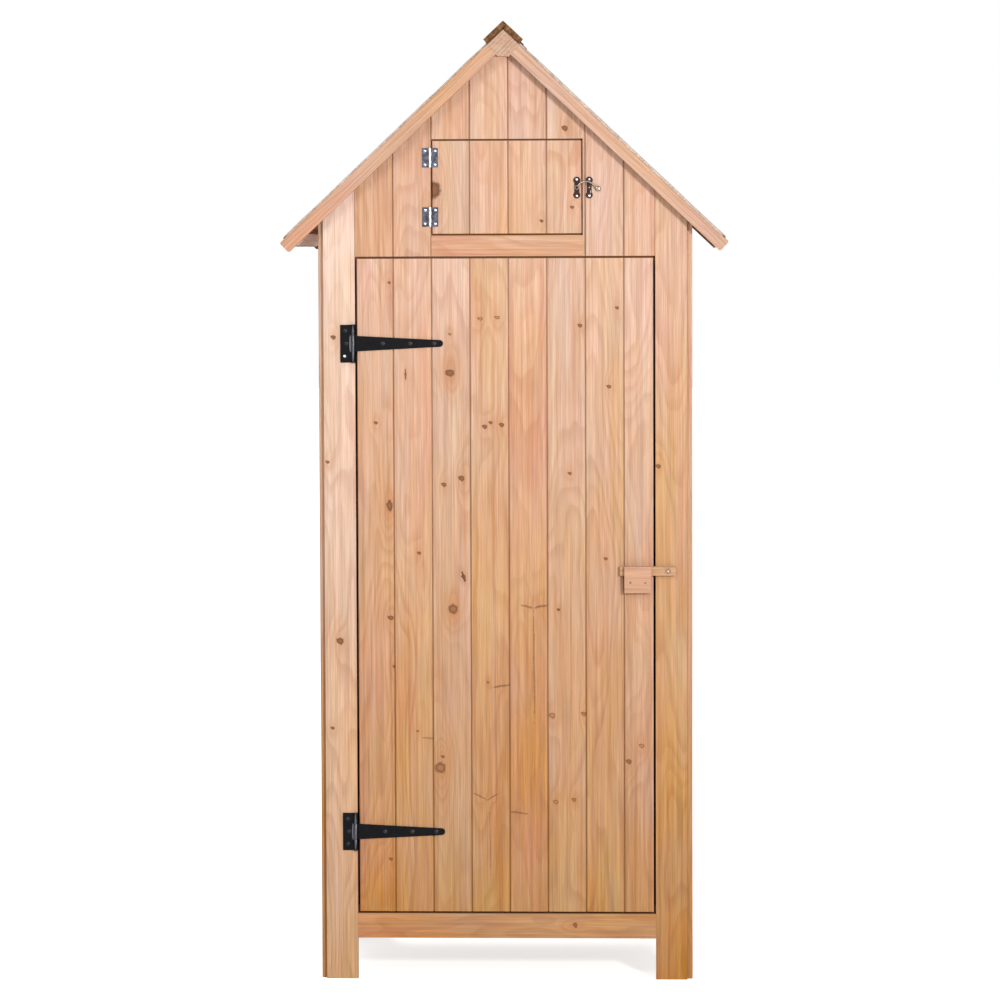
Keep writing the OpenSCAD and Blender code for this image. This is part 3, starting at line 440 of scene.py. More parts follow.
def fir(name, lying, tone=1.0, pitch=ONE_BOARD, width=None, seed=0.0, knots=(), gap=300.0,
        fold=False, wander=1.0):
    """Planed, dip-treated fir: pitch is how far apart the boards begin, width a board's own and
    gap the way between strewn knots, in millimetres. With fold the pattern is the same on both
    sides of x = 0; wander says how much the pith strays, 0 for dead straight rings."""
    turning, seam = lying
    material, tree, surface = new_finish(name)
    where = add(tree, "TexCoord")
    point = where["Object"]
    if fold:
        point = add(tree, "VectorMath.ABSOLUTE", [point])[0]
    turn = turning.to_euler("XYZ")
    point = add(tree, "Mapping", {"Vector": point, "Rotation": turn, "Scale": (1000,) * 3,
                                  "Location": (-seam, 0, 0)})[0]
    facing = add(tree, "Mapping", {"Vector": where["Normal"], "Rotation": turn},
                 vector_type="NORMAL")[0]
    facing = add(tree, "SeparateXYZ", [facing])[2]
    end = add(tree, "Math.ABSOLUTE", [facing])[0]
    height = add(tree, "SeparateXYZ", [where["Object"]])[2]
    carried = {"Near": 9.0, "Dark": 0.0, "Pale": 0.0, "Warp": 0.0, "Stain": 0.0}
    for x, z, rx, rz, tilt, dark, pale, tint in knots:
        carried = add(tree, "Group", {
            "Point": point, "Place": (x - seam, 0, z), "Size": (rx, 1, rz),
            "Turn": math.radians(tilt), "Reach": min(rx, rz * 1.5), "Is_dark": dark,
            "Is_pale": pale, "Tint": tint, **{k: carried[k] for k in (
                "Near", "Dark", "Pale", "Warp", "Stain")}}, node_tree=knot)
    if not knots:
        carried = add(tree, "Group", {"Point": point, "Pitch": pitch, "Seed": seed, "Gap": gap,
                                      **carried}, node_tree=strewn)
    figure = add(tree, "Group", {"Point": point, "Pitch": pitch, "Width": width or pitch,
                                 "Seed": seed, "Warp": carried["Warp"], "Wander": wander},
                 node_tree=grain)
    look = add(tree, "Group", {
        **{k: figure[k] for k in ("Late", "Fibre", "Streak", "Patch", "Board")},
        **{k: carried[k] for k in ("Near", "Dark", "Pale", "Stain")}, "End": end,
        "Up": height, "Tone": tone}, node_tree=finish)
    bump = add(tree, "Bump", {"Strength": 0.5, "Distance": 0.3 * MM, "Height": look["Height"]})[0]
    feed(tree, surface, {"Base Color": look["Color"], "Roughness": look["Roughness"],
                         "Normal": bump, "Specular IOR Level": 0.35})
    return material


# %% [markdown]
# Machined timber has no razor edges: each solid's corners are broken by a fine bevel that
# catches the light. A shader can feign such a round, but only a bevel also shows in the outline.
# The solids come as loose triangles, so they are welded first.

# %% Dressing a node
def dress(name, material, edge=0.5):
    """Gives a CAD node its finish and breaks its edges by a bevel of so many millimetres."""
    solid = nodes[name]
    solid.data.materials.clear()
    solid.data.materials.append(material)
    weld = solid.modifiers.new("weld", "WELD")
    weld.merge_threshold = 0.002 * MM
    bevel = solid.modifiers.new("broken_edges", "BEVEL")
    bevel.width, bevel.segments, bevel.limit_method = edge * MM, 2, "ANGLE"
    bevel.angle_limit = math.radians(35)


# %% [markdown]
# ## Boards and frame
# The upright boards stand 65.5 mm apart from a seam at x = -256 mm. The knots of the front are
# placed where the picture shows them, in millimetres on the face; other boards get strewn ones.

# %% How the boards lie
UP, ACROSS, BACK = (0, 0, 1), (1, 0, 0), (0, 1, 0)
SLOPE = math.radians(43.3)
DOWN_RIGHT = (math.cos(SLOPE), 0, -math.sin(SLOPE))
DOWN_LEFT = (-math.cos(SLOPE), 0, -math.sin(SLOPE))
OUT_RIGHT = (math.sin(SLOPE), 0, math.cos(SLOPE))
OUT_LEFT = (-math.sin(SLOPE), 0, math.cos(SLOPE))
SEAM, PITCH = -256.0, 65.5
WARM, FRAME = 0.98, 0.9      # how light a board came out of the dip
print("front boards stand", PITCH, "mm apart")

# %% Door boards
DOOR_KNOTS = [
    [knot_at(-197, 1196, 2.5), knot_at(-221, 957, 3), knot_at(-198, 815, 5, 9, tint=0.9),
     knot_at(-197, 623, 5, 4), knot_at(-191, 539, 3), knot_at(-199, 207, 3)],
    [knot_at(-170, 1039, 1.5, 8, dark=0.9, pale=0), knot_at(-148, 734, 3),
     knot_at(-132, 416, 12, 1.4, -4, 0.5, 0, 0.4), knot_at(-152, 428, 2)],
    [knot_at(-94, 1108, 2.5, pale=0.8), knot_at(-94, 1042, 8, 6, tint=1.0), knot_at(-105, 851, 4),
     knot_at(-75, 862, 5), knot_at(-72, 693, 3, 8, 15, pale=0),
     knot_at(-90, 638, 8, pale=0.45, tint=1.0), knot_at(-113, 365, 9, pale=0.6, tint=0.6),
     knot_at(-109, 384, 3)],
    [knot_at(-42, 1134, 4, 3, pale=0.9), knot_at(-13, 1136, 4, 3, pale=0.9), knot_at(-35, 950, 4),
     knot_at(-25, 957, 3), knot_at(-6, 953, 4), knot_at(-31, 512, 2),
     knot_at(-7, 506, 18, 1.6, 9, 0.7, 0, 0.3), knot_at(-45, 316, 14, 1.3, -26, 0.6, 0, 0.2),
     knot_at(-22, 316, 12, 1.3, 32, 0.6, 0, 0.2), knot_at(-28, 239, 0.9, 63, 1, 0.5, 0, 0)],
    [knot_at(38, 642, 13, 1.6, -14, 0.6, 0, 0.4), knot_at(62, 643, 13, 1.8, 9, 0.7, 0, 0.5),
     knot_at(48, 545, 1, 95, 0.5, 0.6, 0, 0), knot_at(20, 288, 17, 1.6, -7, 0.6, 0, 0.2)],
    [knot_at(128, 1122, 3.5), knot_at(110, 870, 3), knot_at(90, 637, 2.5, pale=0),
     knot_at(79, 455, 5, pale=0.9), knot_at(133, 458, 4, pale=0.6), knot_at(85, 306, 4, pale=0.8),
     knot_at(116, 310, 3.5, pale=0.6)],
    [knot_at(191, 1152, 3), knot_at(177, 1018, 3.5), knot_at(171, 724, 3)],
    [knot_at(210, 376, 4.5), knot_at(232, 403, 4, pale=0.9)]]
print(sum(map(len, DOOR_KNOTS)), "knots on", len(DOOR_KNOTS), "door boards")
for i, found in enumerate(DOOR_KNOTS):
    board_wood = fir(f"dipped_fir_door_board_{i + 1}", lay(ACROSS, UP, SEAM), WARM,
                     PITCH, seed=3.0 + i * 0.37, knots=found)
    dress(f"door_board_{i + 1}", board_wood)

# %% Front of the carcase
dress("front_post_left", fir("dipped_fir_left_post", lay(ACROSS, UP, -310), 1.17, 54.0,
    seed=11, knots=[knot_at(-293, 1103, 4), knot_at(-304, 890, 3), knot_at(-284, 583, 6),
                    knot_at(-298, 433, 3)]))
dress("front_post_right", fir("dipped_fir_right_post", lay(ACROSS, UP, 256), 0.89, 54.0,
    seed=12, knots=[knot_at(261, 882, 4)]))
dress("gable_boards", fir("dipped_fir_gable", lay(ACROSS, UP, SEAM), 0.91, PITCH,
    seed=5, knots=[knot_at(103, 1457, 5)]))
dress("hatch_boards", fir("dipped_fir_hatch", lay(ACROSS, UP, SEAM), 0.91, PITCH,
    seed=6, knots=[knot_at(-121, 1353.6, 12.5, 14, pale=0.2, tint=0.5), knot_at(63, 1300, 3),
                   knot_at(115, 1323, 3)]))
dress("bottom_rail", fir("dipped_fir_bottom_rail", lay(UP, ACROSS, 71), 1.02, 42.5,
    seed=8, knots=[knot_at(94, 117, 4)]))
dress("mid_rail", fir("dipped_fir_mid_rail", lay(UP, ACROSS, 1240.5), 0.83, 35.5,
    seed=9, gap=900))

# %% Timber that the picture doesn't show, and the latch
# Cover of one board: the width of a wall, floor or slope shared out among its boards
SIDE_COVER, BACK_COVER, FLOOR_COVER, ROOF_COVER = 460 / 7, 620 / 9, 394 / 6, 473.5 / 7
LEDGE_STEP, LEDGE_WIDTH = 418.775, 64.0      # from one door ledge to the next, and its width
# What shows of the front rails in the gaps over the door and the hatch is in deep shadow, so
# their colour is darkened, a painted shade. The battens under the eaves lie in the barge
# boards' shadow, so their colour is made paler, a painted light.
PAINTED_SHADE_TONE, PAINTED_LIGHT_TONE, LIGHT = 0.36, 1.42, 0.94
TIMBER = [      # node, how it was cut, how it lies, tone, cover of one board, seed
    ("side_boards_left", "dipped", lay(BACK, UP, -225), WARM, SIDE_COVER, 21),
    ("side_boards_right", "dipped", lay(BACK, UP, -225), WARM, SIDE_COVER, 22),
    ("back_boards", "dipped", lay(ACROSS, UP, -310), WARM, BACK_COVER, 23),
    ("floor_boards", "dipped", lay(BACK, ACROSS, -196), FRAME, FLOOR_COVER, 31),
    ("loft_floor", "dipped", lay(BACK, ACROSS, -196), FRAME, FLOOR_COVER, 32),
    ("lower_shelf", "dipped", lay(BACK, ACROSS, 25.5), FRAME, 59.0, 35),
    ("upper_shelf", "dipped", lay(BACK, ACROSS, 25.5), FRAME, 59.0, 36),
    ("floor_bearers", "sawn", lay(BACK, ACROSS), FRAME, ONE_BOARD, 38),
    ("back_rails", "sawn", lay(UP, ACROSS, 40), FRAME, 100.0, 39),
    ("front_rails", "sawn", lay(UP, ACROSS, 45), PAINTED_SHADE_TONE, 90.0, 40),
    ("side_frame_left", "sawn", lay(BACK, UP, -224), FRAME, 65.7, 41),
    ("side_frame_right", "sawn", lay(BACK, UP, -224), FRAME, 65.7, 42),
    ("door_braces", "planed", lay((-0.72, 0, 0.69), (0.69, 0, 0.72)), WARM, ONE_BOARD, 45),
    ("hatch_ledges", "planed", lay(UP, ACROSS, 1250), WARM, 100.0, 46),
    ("roof_boards_right", "dipped", lay(DOWN_RIGHT, BACK, 38), WARM, ROOF_COVER, 51),
    ("roof_boards_left", "dipped", lay(DOWN_LEFT, BACK, 38), WARM, ROOF_COVER, 52),
    # painted_light is no cut: the battens' colour is made paler, a painted light, as they lie in
    # shadow
    ("eave_battens", "painted_light", lay(ACROSS, BACK), PAINTED_LIGHT_TONE, ONE_BOARD, 53)]
for node, cut, lying, tone, cover, seed in TIMBER:
    dress(node, fir(f"{cut}_fir_{node}", lying, tone, cover, seed=seed))
dress("door_ledges", fir("planed_fir_ledges", lay(UP, ACROSS, 223), WARM, LEDGE_STEP,
                         LEDGE_WIDTH, seed=44))
CLEAR = 2000.0      # so far between knots that small pieces have none
dress("latch_bar", fir("planed_fir_latch_bar", lay(UP, ACROSS, 696), LIGHT, 15.5, seed=61,
                       gap=CLEAR))
for i, name in enumerate(("latch_keeper_cover", "latch_keeper_spacer")):
    dress(name, fir("planed_fir_" + name, lay(UP, ACROSS, 660), WARM, 60.0, seed=62 + i,
                    gap=CLEAR))

# %% Ridge beam and barge boards
# The beam's end shows its rings as straight lines that run up to the right, so it was cut far
# from the pith, which is put two metres off in the direction square to them
dress("ridge_beam", fir("planed_fir_ridge_beam", lay(ACROSS, BACK, 1543), 1.06, 6000.0,
                        12000.0, seed=55, wander=0.12))
# What shows of the rear barge boards under the eaves lies in shade and is nearly black, so
# their colour is darkened to brown, a painted shade
for node, wood, lying, tone, seed, fold in (
        ("front_barge_left", "dipped_fir_left_barge", lay(OUT_LEFT, DOWN_LEFT), 0.84, 56, False),
        ("front_barge_right", "dipped_fir_right_barge", lay(OUT_RIGHT, DOWN_RIGHT), 0.84, 57,
         False),
        ("rear_barges", "rear_barges_painted_shade", lay(OUT_RIGHT, DOWN_RIGHT), 0.32, 58, True)):
    dress(node, fir(wood, lying, tone, seed=seed, gap=420.0, fold=fold))
dress("gable_battens", fir("sawn_fir_gable_battens", lay(OUT_RIGHT, DOWN_RIGHT), FRAME, seed=54,
                           fold=True))
print("timber nodes dressed")

# %% [markdown]
# ## Shapes from grids of points
# The pieces below could be pulled into shape by hand, but then no size could be changed later.
# Instead they are surfaces worked out as whole arrays: a grid of points, one row after the
# other, and the four-cornered faces between neighbours. A sign test turns faces outwards.

# %% Grids and pieces
def grid_faces(rows, cols, ring=False):
    """Faces between neighbouring points of a grid; ring joins the last column to the first."""
    r = np.arange(rows - 1)[:, None] * cols
    c = np.arange(cols - (not ring))[None, :]
    after = (c + 1) % cols
    return np.stack([r + c, r + after, r + cols + after, r + cols + c], -1).reshape(-1, 4)


def outward(points, faces):
    """Turns all faces if the volume they enclose, the sum of the pyramids that stand on them
    with their tips at the points' middle, comes out negative."""
    q = (points - points.mean(0))[faces]
    volume = np.einsum("ij,ij->i", q[:, 0], np.cross(q[:, 1] - q[:, 0], q[:, 2] - q[:, 0])
                       + np.cross(q[:, 2] - q[:, 0], q[:, 3] - q[:, 0])).sum()
    return faces if volume > 0 else faces[:, ::-1]


def shell(outer, inner):
    """A closed plate between two grids of the same size, joined along their four edges."""
    rows, cols = outer.shape[:2]
    count = rows * cols
    index = np.arange(count).reshape(rows, cols)
    rim = np.concatenate([index[0, :-1], index[:-1, -1], index[-1, :0:-1], index[:0:-1, 0]])
    after = np.roll(rim, -1)
    sheet = grid_faces(rows, cols)
    faces = np.concatenate([sheet[:, ::-1], sheet + count,
                            np.stack([rim, after, after + count, rim + count], -1)])
    points = np.concatenate([outer.reshape(-1, 3), inner.reshape(-1, 3)])
    return points, outward(points, faces)


def turned(profile, centre, around=32):
    """A turned part on an axis along Y: profile lists radius and how far it stands to the front;
    point = centre + (radius cos a, -height, radius sin a) for a all the way round."""
    profile = np.asarray(profile, float)
    a = np.linspace(0, 2 * np.pi, around, endpoint=False)
    r, up = profile[:, 0, None], profile[:, 1, None]
    points = np.stack([r * np.cos(a), -up + 0 * a, r * np.sin(a)], -1) * MM + centre
    points = points.reshape(-1, 3)
    return points, outward(points, grid_faces(len(profile), around, ring=True))


def joined(parts):
    """Several sets of points and faces as one."""
    start = np.cumsum([0] + [len(p) for p, _ in parts[:-1]])
    return (np.concatenate([p for p, _ in parts]),
            np.concatenate([f + n for (_, f), n in zip(parts, start)]))


def piece(name, shape, material, body, sharp=40):
    """Makes the mesh, gives it its finish and lets it ride on its body."""
    points, faces = shape
    mesh = bpy.data.meshes.new(name)
    mesh.from_pydata(points.tolist(), [], faces.tolist())
    mesh.shade_smooth()
    mesh.set_sharp_from_angle(angle=math.radians(sharp))
    mesh.materials.append(material)
    thing = bpy.data.objects.new(name, mesh)
    bpy.context.scene.collection.objects.link(thing)
    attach(thing, body)
    print(name, len(points), "points")
    return thing


# %% [markdown]
# ## Roofing felt
# Mineral felt is bitumen felt with crushed stone rolled into its face. On the slopes it is a worn
# grey-brown, on the younger ridge strip brown, olive and tan grains still sit close. Real stones
# would need millions of faces, so each is one cell of a cellular pattern. A grain is 1 to 2 mm;
# it is drawn at 2.5 mm, because a finer one would blur away.

# %% Felt finish
GRIT = 2.5


def mineral_felt(name, codes, cloud, under_strip="#000000", height=9.0):
    """Stone grains in the given colours, faded in clouds so many millimetres wide; above a
    height, where the ridge strip has kept the rain off, the felt still has another colour."""
    material, tree, surface = new_finish(name)
    point = add(tree, "TexCoord")["Object"]
    grains = add(tree, "TexVoronoi", {"Vector": point, "Scale": 1000 / GRIT})
    speck = add(tree, "SeparateColor", [grains["Color"]])
    blots = add(tree, "TexNoise", {"Vector": point, "Scale": 1000 / cloud, "Detail": 4.0})["Fac"]
    blot = add(tree, "MapRange", {0: blots, 1: 0.25, 2: 0.75})[0]
    share = add(tree, "Mix", {0: 0.6, 2: speck[0], 3: blot})[0]
    ramp = tree.nodes.new("ShaderNodeValToRGB")
    steps = ramp.color_ramp.elements
    for stop, code in zip(np.linspace(0.15, 0.85, len(codes)), codes):
        steps.new(stop).color = linear(code)
    steps.remove(steps[0])
    steps.remove(steps[-1])
    tree.links.new(share, ramp.inputs[0])
    level = add(tree, "SeparateXYZ", [point])[2]
    kept = add(tree, "MapRange", {0: level, 1: height, 2: height + 0.002})[0]
    colour = add(tree, "Mix", {0: kept, 6: ramp.outputs[0], 7: linear(under_strip)},
                 data_type="RGBA")[2]
    bump = add(tree, "Bump", {"Strength": 0.7, "Distance": 0.5 * MM,
                              "Height": grains["Distance"]})[0]
    feed(tree, surface, {"Base Color": colour, "Roughness": 0.92, "Specular IOR Level": 0.2,
                         "Normal": bump})
    return material


UNDER_STRIP = 1.5975      # height from which the ridge strip covers the slopes
slope_felt = mineral_felt("worn_mineral_felt", ("#928176", "#AA978A", "#BCA99B", "#CBB8AB"),
                          30, "#64432F", UNDER_STRIP)
ridge_felt = mineral_felt("mineral_ridge_felt", ("#322316", "#563723", "#684E28", "#7C4E35",
                                                 "#886D53"), 12)
print("felts:", slope_felt.name, "and", ridge_felt.name)

# %% [markdown]
# Each slope is one sheet. Down the slope it runs flat, bends over the eave and hangs down; across
# the locker it is folded down over the barge boards. Laid cloth would have to be simulated, and
# its folds would fall by chance. Here one grid holds both bends: rows go down the slope, columns
# across. Ripples stand up to 0.8 mm off the boards, as felt does between its nails.

# %% Felt sheets
FELT, FOLD = 2.5 * MM, 2.0 * MM      # how high the felt lies over the boards, and its folds' radius
EAVE, EAVE_DROP = 0.51399, 0.0195      # where it bends down at the eave, and how far it hangs
# The ridge of the boards' top planes, and where felt and boards end behind
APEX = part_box("roof_felt_right")[1].z - FELT / math.cos(SLOPE)
ROOF_Y, DECK_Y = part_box("roof_felt_right")[1].y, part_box("roof_boards_right")[1].y
print(f"ridge of the boards {APEX:.5f} m up, felt to {ROOF_Y:.3f} m and boards to {DECK_Y:.3f} m")


def on_roof(side, s, h, y):
    """s down the slope, h square off its boards: (side (s cos + h sin), y, apex - s sin + h cos)"""
    return np.stack([side * (s * math.cos(SLOPE) + h * math.sin(SLOPE)), y + 0 * s,
                     APEX - s * math.sin(SLOPE) + h * math.cos(SLOPE)], -1)


def smooth(x, a, b):
    """0 below a, 1 above b, and 3t^2 - 2t^3 between."""
    t = np.clip((x - a) / (b - a), 0, 1)
    return t * t * (3 - 2 * t)


def felt_slope(side, lip_top, lip_low):
    """The path down the slope is a line, a quarter turn and a line. The path across is a lip up,
    a quarter turn, the width, and the same again; its lips shrink to nothing round the eave."""
    long, wide, drop_steps, lip_steps = 110, 90, 10, 5
    turn = np.linspace(0, np.pi / 2, 7)[1:]
    s = np.concatenate([np.linspace(0, EAVE - FOLD, long), EAVE - FOLD + FOLD * np.sin(turn),
                        np.full(drop_steps, EAVE)])[:, None]
    h = np.concatenate([np.full(long, FELT), FELT - FOLD + FOLD * np.cos(turn),
                        np.linspace(FELT - FOLD, FELT - EAVE_DROP, drop_steps + 1)[1:]])[:, None]
    bend = np.concatenate([np.zeros(long), turn, np.full(drop_steps, np.pi / 2)])[:, None]
    side_steps = len(turn) + lip_steps
    across = np.concatenate([np.full(side_steps, -1.0), np.linspace(-1, 1, wide),
                             np.full(side_steps, 1.0)])[None, :]
    flat_lip = np.zeros(lip_steps)
    step_in = np.concatenate([flat_lip, 1 - np.cos(turn), np.full(wide, 1.0),
                              1 - np.cos(turn[::-1]), flat_lip])[None, :]
    down = np.concatenate([flat_lip + 1, 1 - np.sin(turn), np.zeros(wide),
                           1 - np.sin(turn[::-1]), flat_lip + 1])[None, :]
    hang = np.concatenate([np.linspace(1, 0, lip_steps), np.zeros(wide + 2 * len(turn)),
                           np.linspace(0, 1, lip_steps)])[None, :]
    flat = 1 - smooth(s, EAVE - 0.010, EAVE - 0.001)
    lip = (lip_top + (lip_low - lip_top) * smooth(s, 0.06, 0.13)) * MM
    lip = lip * (1 + 0.10 * np.sin(s * 91) + 0.07 * np.sin(s * 233 + 1)) * flat
    width = DECK_Y + (ROOF_Y - DECK_Y) * flat
    y = across * (width - FOLD * step_in * flat)
    drop = (FOLD * down + lip * hang) * np.where(hang + down > 0, flat, 1)
    ripple = np.sin(s * 57 + 2.2 * np.sin(y * 31 + side)) * np.sin(y * 37 + 1.3 + s * 9)
    ripple = (0.42 + 0.28 * ripple + 0.12 * np.sin(s * 131 + y * 83)) * MM * (1 - down)
    rise = ripple - drop
    return on_roof(side, s + rise * np.sin(bend), h + rise * np.cos(bend), y)


for name, side, lips in (("roof_felt_right", 1, (0.1, 2.0)), ("roof_felt_left", -1, (0.1, 0.4))):
    grid = felt_slope(side, *lips)
    faces = grid_faces(*grid.shape[:2])
    sheet = piece(name + "_sheet", (grid.reshape(-1, 3), faces if side < 0 else faces[:, ::-1]),
                  slope_felt, "carcase", 60)
    thick = sheet.modifiers.new("thickness", "SOLIDIFY")
    thick.thickness, thick.offset = 1.8 * MM, -1
    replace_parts(sheet, name)

# %% [markdown]
# The ridge strip is bent over the ridge and lies loosely. Its front end is folded back twice, so
# from the front it looks three layers thick, and behind the fold it is thin. It could be one
# folded surface; three strips that lie on each other show the same edges and are simpler.

# %% Ridge strip
def ridge_layer(low, high, y0, y1, arm, seed):
    """A bent strip between heights low and high (mm) over the boards: x runs in even steps to
    reach cos + h sin, z falls from the ridge by tan(pitch) sqrt(x^2 + r^2), a line with a small
    round, and slow waves lift the strip behind its folded end."""
    rows, cols = max(6, int((y1 - y0) / 4)), 33
    y = np.linspace(y0, y1, rows)[:, None] * MM
    t = np.linspace(-1, 1, cols)[None, :]
    loose = smooth(y, -0.256, -0.22) * smooth(np.abs(t), 0.1, 0.9)
    swell = 1.1 * (0.55 + 0.45 * np.sin(y * 41 + seed + 2 * np.sign(t))) * loose
    reach = arm * (1 + 0.02 * np.sin(y * 67 + seed))

    def at(h, r):
        """The strip's points at a height over the boards, with a round of radius r."""
        x = t * (reach * MM * math.cos(SLOPE) + h * math.sin(SLOPE))
        z = APEX + h / math.cos(SLOPE) - math.tan(SLOPE) * np.sqrt(x * x + r * r)
        return np.stack([x, y + 0 * x, z], -1)

    top = at((high + swell) * MM, 0.5 * MM)
    bottom = at((low + swell * 0.8) * MM, 0.3 * MM)
    return shell(top, bottom)


strip = joined([ridge_layer(2.7, 5.3, -270, 270, 36, 0.3),
                ridge_layer(5.4, 8.0, -269.7, -256, 35.6, 1.1),
                ridge_layer(8.1, 10.8, -270, -256.5, 35.9, 2.0)])
strip = piece("ridge_strip_folded", strip, ridge_felt, "carcase", 50)
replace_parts(strip, "ridge_cap")

# %% [markdown]
# ## Metals
# The tee hinges are pressed steel, japanned: a thick satin black paint, worn bright where the
# knuckles rub, with a painted highlight on the knuckles. The hatch hinges are zinc-plated: their
# leaves and the tee hinges' pins are given a dark slate grey, a painted dark reflection; the
# knuckles and screws shine as bright zinc. The hook is antique bronze: its plates are dark with
# rubbed, paler edges, and the hook itself has a pale front and dark sides, a painted reflection.
# Each could be a shader of its own, but they differ only in coat, wear and painted light, so one
# function makes them all.

# %% Metal finishes
def metal(name, base, other, rough, metallic, spread, grit, bright=None, spots=(), shine=0.5,
          rims=None):
    """A metal whose colour changes in clouds spread millimetres wide, with a fine grit; where a
    spot (middle, half sizes in metres) is, the bright colour shows as bare metal or as a painted
    highlight. rims is a colour that shows where the surface turns away from the front."""
    material, tree, surface = new_finish(name)
    point = add(tree, "TexCoord")["Object"]
    clouds = add(tree, "TexNoise", {"Vector": point, "Scale": 1000 / spread, "Detail": 4.0})["Fac"]
    fine = add(tree, "TexNoise", {"Vector": point, "Scale": 1000 / grit, "Detail": 2.0})["Fac"]
    share = add(tree, "MapRange", {0: clouds, 1: 0.35, 2: 0.65})[0]
    colour = add(tree, "Mix", {0: share, 6: linear(base), 7: linear(other)}, data_type="RGBA")[2]
    gloss = add(tree, "MapRange", {0: clouds, 1: 0.3, 2: 0.7, 3: rough * 0.8, 4: rough * 1.25})[0]
    if rims:
        front = add(tree, "SeparateXYZ", [add(tree, "TexCoord")["Normal"]])[1]
        turned_away = add(tree, "MapRange", {0: front, 1: -0.96, 2: -0.6})[0]
        colour = add(tree, "Mix", {0: turned_away, 6: colour, 7: linear(rims)},
                     data_type="RGBA")[2]
    # worn is the share of the bright colour: real wear, or a painted highlight where a spot stands
    # for one
    worn = 0.0
    for middle, half_size in spots:
        off = add(tree, "VectorMath.SUBTRACT", [point, middle])[0]
        off = add(tree, "VectorMath.DIVIDE", [off, half_size])[0]
        off = add(tree, "VectorMath.LENGTH", [off])["Value"]
        inside = add(tree, "MapRange", {0: off, 1: 0.8, 2: 1.05, 3: 1.0, 4: 0.0})[0]
        worn = add(tree, "Math.MAXIMUM", [inside, worn])[0]
    if spots:
        patchy = add(tree, "MapRange", {0: clouds, 1: 0.3, 2: 0.42, 3: 0.35, 4: 1.0})[0]
        worn = add(tree, "Math.MULTIPLY", [worn, patchy])[0]
        colour = add(tree, "Mix", {0: worn, 6: colour, 7: linear(bright)}, data_type="RGBA")[2]
        metallic = add(tree, "MapRange", {0: worn, 3: metallic, 4: 1.0})[0]
    bump = add(tree, "Bump", {"Strength": 0.3, "Distance": 0.1 * MM, "Height": fine})[0]
    feed(tree, surface, {"Base Color": colour, "Roughness": gloss, "Metallic": metallic,
                         "Specular IOR Level": shine, "Normal": bump})
    return material


# %% Finishes of the hinges and the hook
# The pins' axes are the joints of the CAD model; the heights come from its plates and leaves
TEE_X, TEE_Y = pivots["door_hinge"][:2]
TEE_Z = [middle(which + "_hinge_plate").z for which in ("lower", "upper")]
BUTT_X, BUTT_Y = pivots["hatch_hinge"][:2]
LEAF = 33 * MM
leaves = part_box("hatch_hinge_fixed_leaves")
BUTT_Z = [leaves[0].z + LEAF / 2, leaves[1].z - LEAF / 2]
print("hinges stand", [round(z, 5) for z in TEE_Z + BUTT_Z], "m up")
# The bright places, by their middle and half sizes: on the tee hinges where the knuckles rub, with
# a painted highlight on the knuckle and the strap's curl; on the butt hinges the knuckles, left
# bright zinc
tee_wear_and_highlight = [((TEE_X - dx, TEE_Y, z), (half_x, 0.02, half_z)) for z in TEE_Z
           for dx, half_x, half_z in ((0.0007, 0.0023, 0.034), (0.0054, 0.0017, 0.0150))]
butt_knuckle_bare_zinc = [((BUTT_X, BUTT_Y, z), (0.0027, 0.02, 0.04)) for z in BUTT_Z]
# Japan is a thick baked paint, black and satin, bare where it is rubbed; on the knuckles the
# bright places are also a painted highlight
japanned = metal("japanned_steel_satin", "#08080B", "#0E0E12", 0.5, 0.0, 9, 1.2, "#66676E", tee_wear_and_highlight,
                 shine=0.1)
# Fresh zinc mirrors the white studio; the leaves and the tee hinges' pins are given a dark
# slate grey, a painted dark reflection, and the knuckles keep bright zinc
zinc = metal("bright_zinc_plate", "#DADCE0", "#B9BDC4", 0.28, 1.0, 4, 0.8)
zinc_painted_dark_reflection = metal("zinc_leaf_painted_dark_reflection", "#41434E", "#63656F", 0.36, 1.0, 5, 0.8, "#EEEFF1",
                   butt_knuckle_bare_zinc)
hook_rub = [((0.1446, -0.245, 1.3566), (0.0014, 0.02, 0.0013)),
            ((0.1466, -0.238, 1.3495), (0.0006, 0.02, 0.0027))]
# Bronze plate stained nearly black and rubbed off where fingers and edges wear it
bronze = metal("antique_bronze_plate", "#3E2C26", "#221713", 0.35, 0.8, 4, 0.8, "#B5A48C", hook_rub,
               rims="#B9AAAA")
# The hook's pale front and dark sides where it turns away are a painted reflection
hook_bronze_painted_reflection = metal("bronze_hook_painted_reflection", "#B8A898", "#8E7A6A", 0.3, 0.9, 4, 0.8, rims="#38251B")

# %% Hinges, hook plates and pins
for name in ("upper_hinge_plate", "lower_hinge_plate", "upper_hinge_strap", "lower_hinge_strap"):
    dress(name, japanned, 0.35)
for name in ("hatch_hinge_fixed_leaves", "hatch_hinge_moving_leaves", "tee_hinge_pins"):
    dress(name, zinc_painted_dark_reflection, 0.2)
dress("hatch_hinge_pins", zinc, 0.2)
for name in ("hook_plate", "hook_keeper", "hook"):
    dress(name, bronze, 0.4)
print("hinges and hook dressed")

# %% [markdown]
# Countersunk screws: a low dome with a cross pressed into it. The cross could be cut out with a
# boolean, which leaves sharp walls and slivers. Here the dome is a turned shape and the cross a
# dip in the same grid, so its walls slope as a pressed recess does.

# %% Screws
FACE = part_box("gable_boards")[0].y


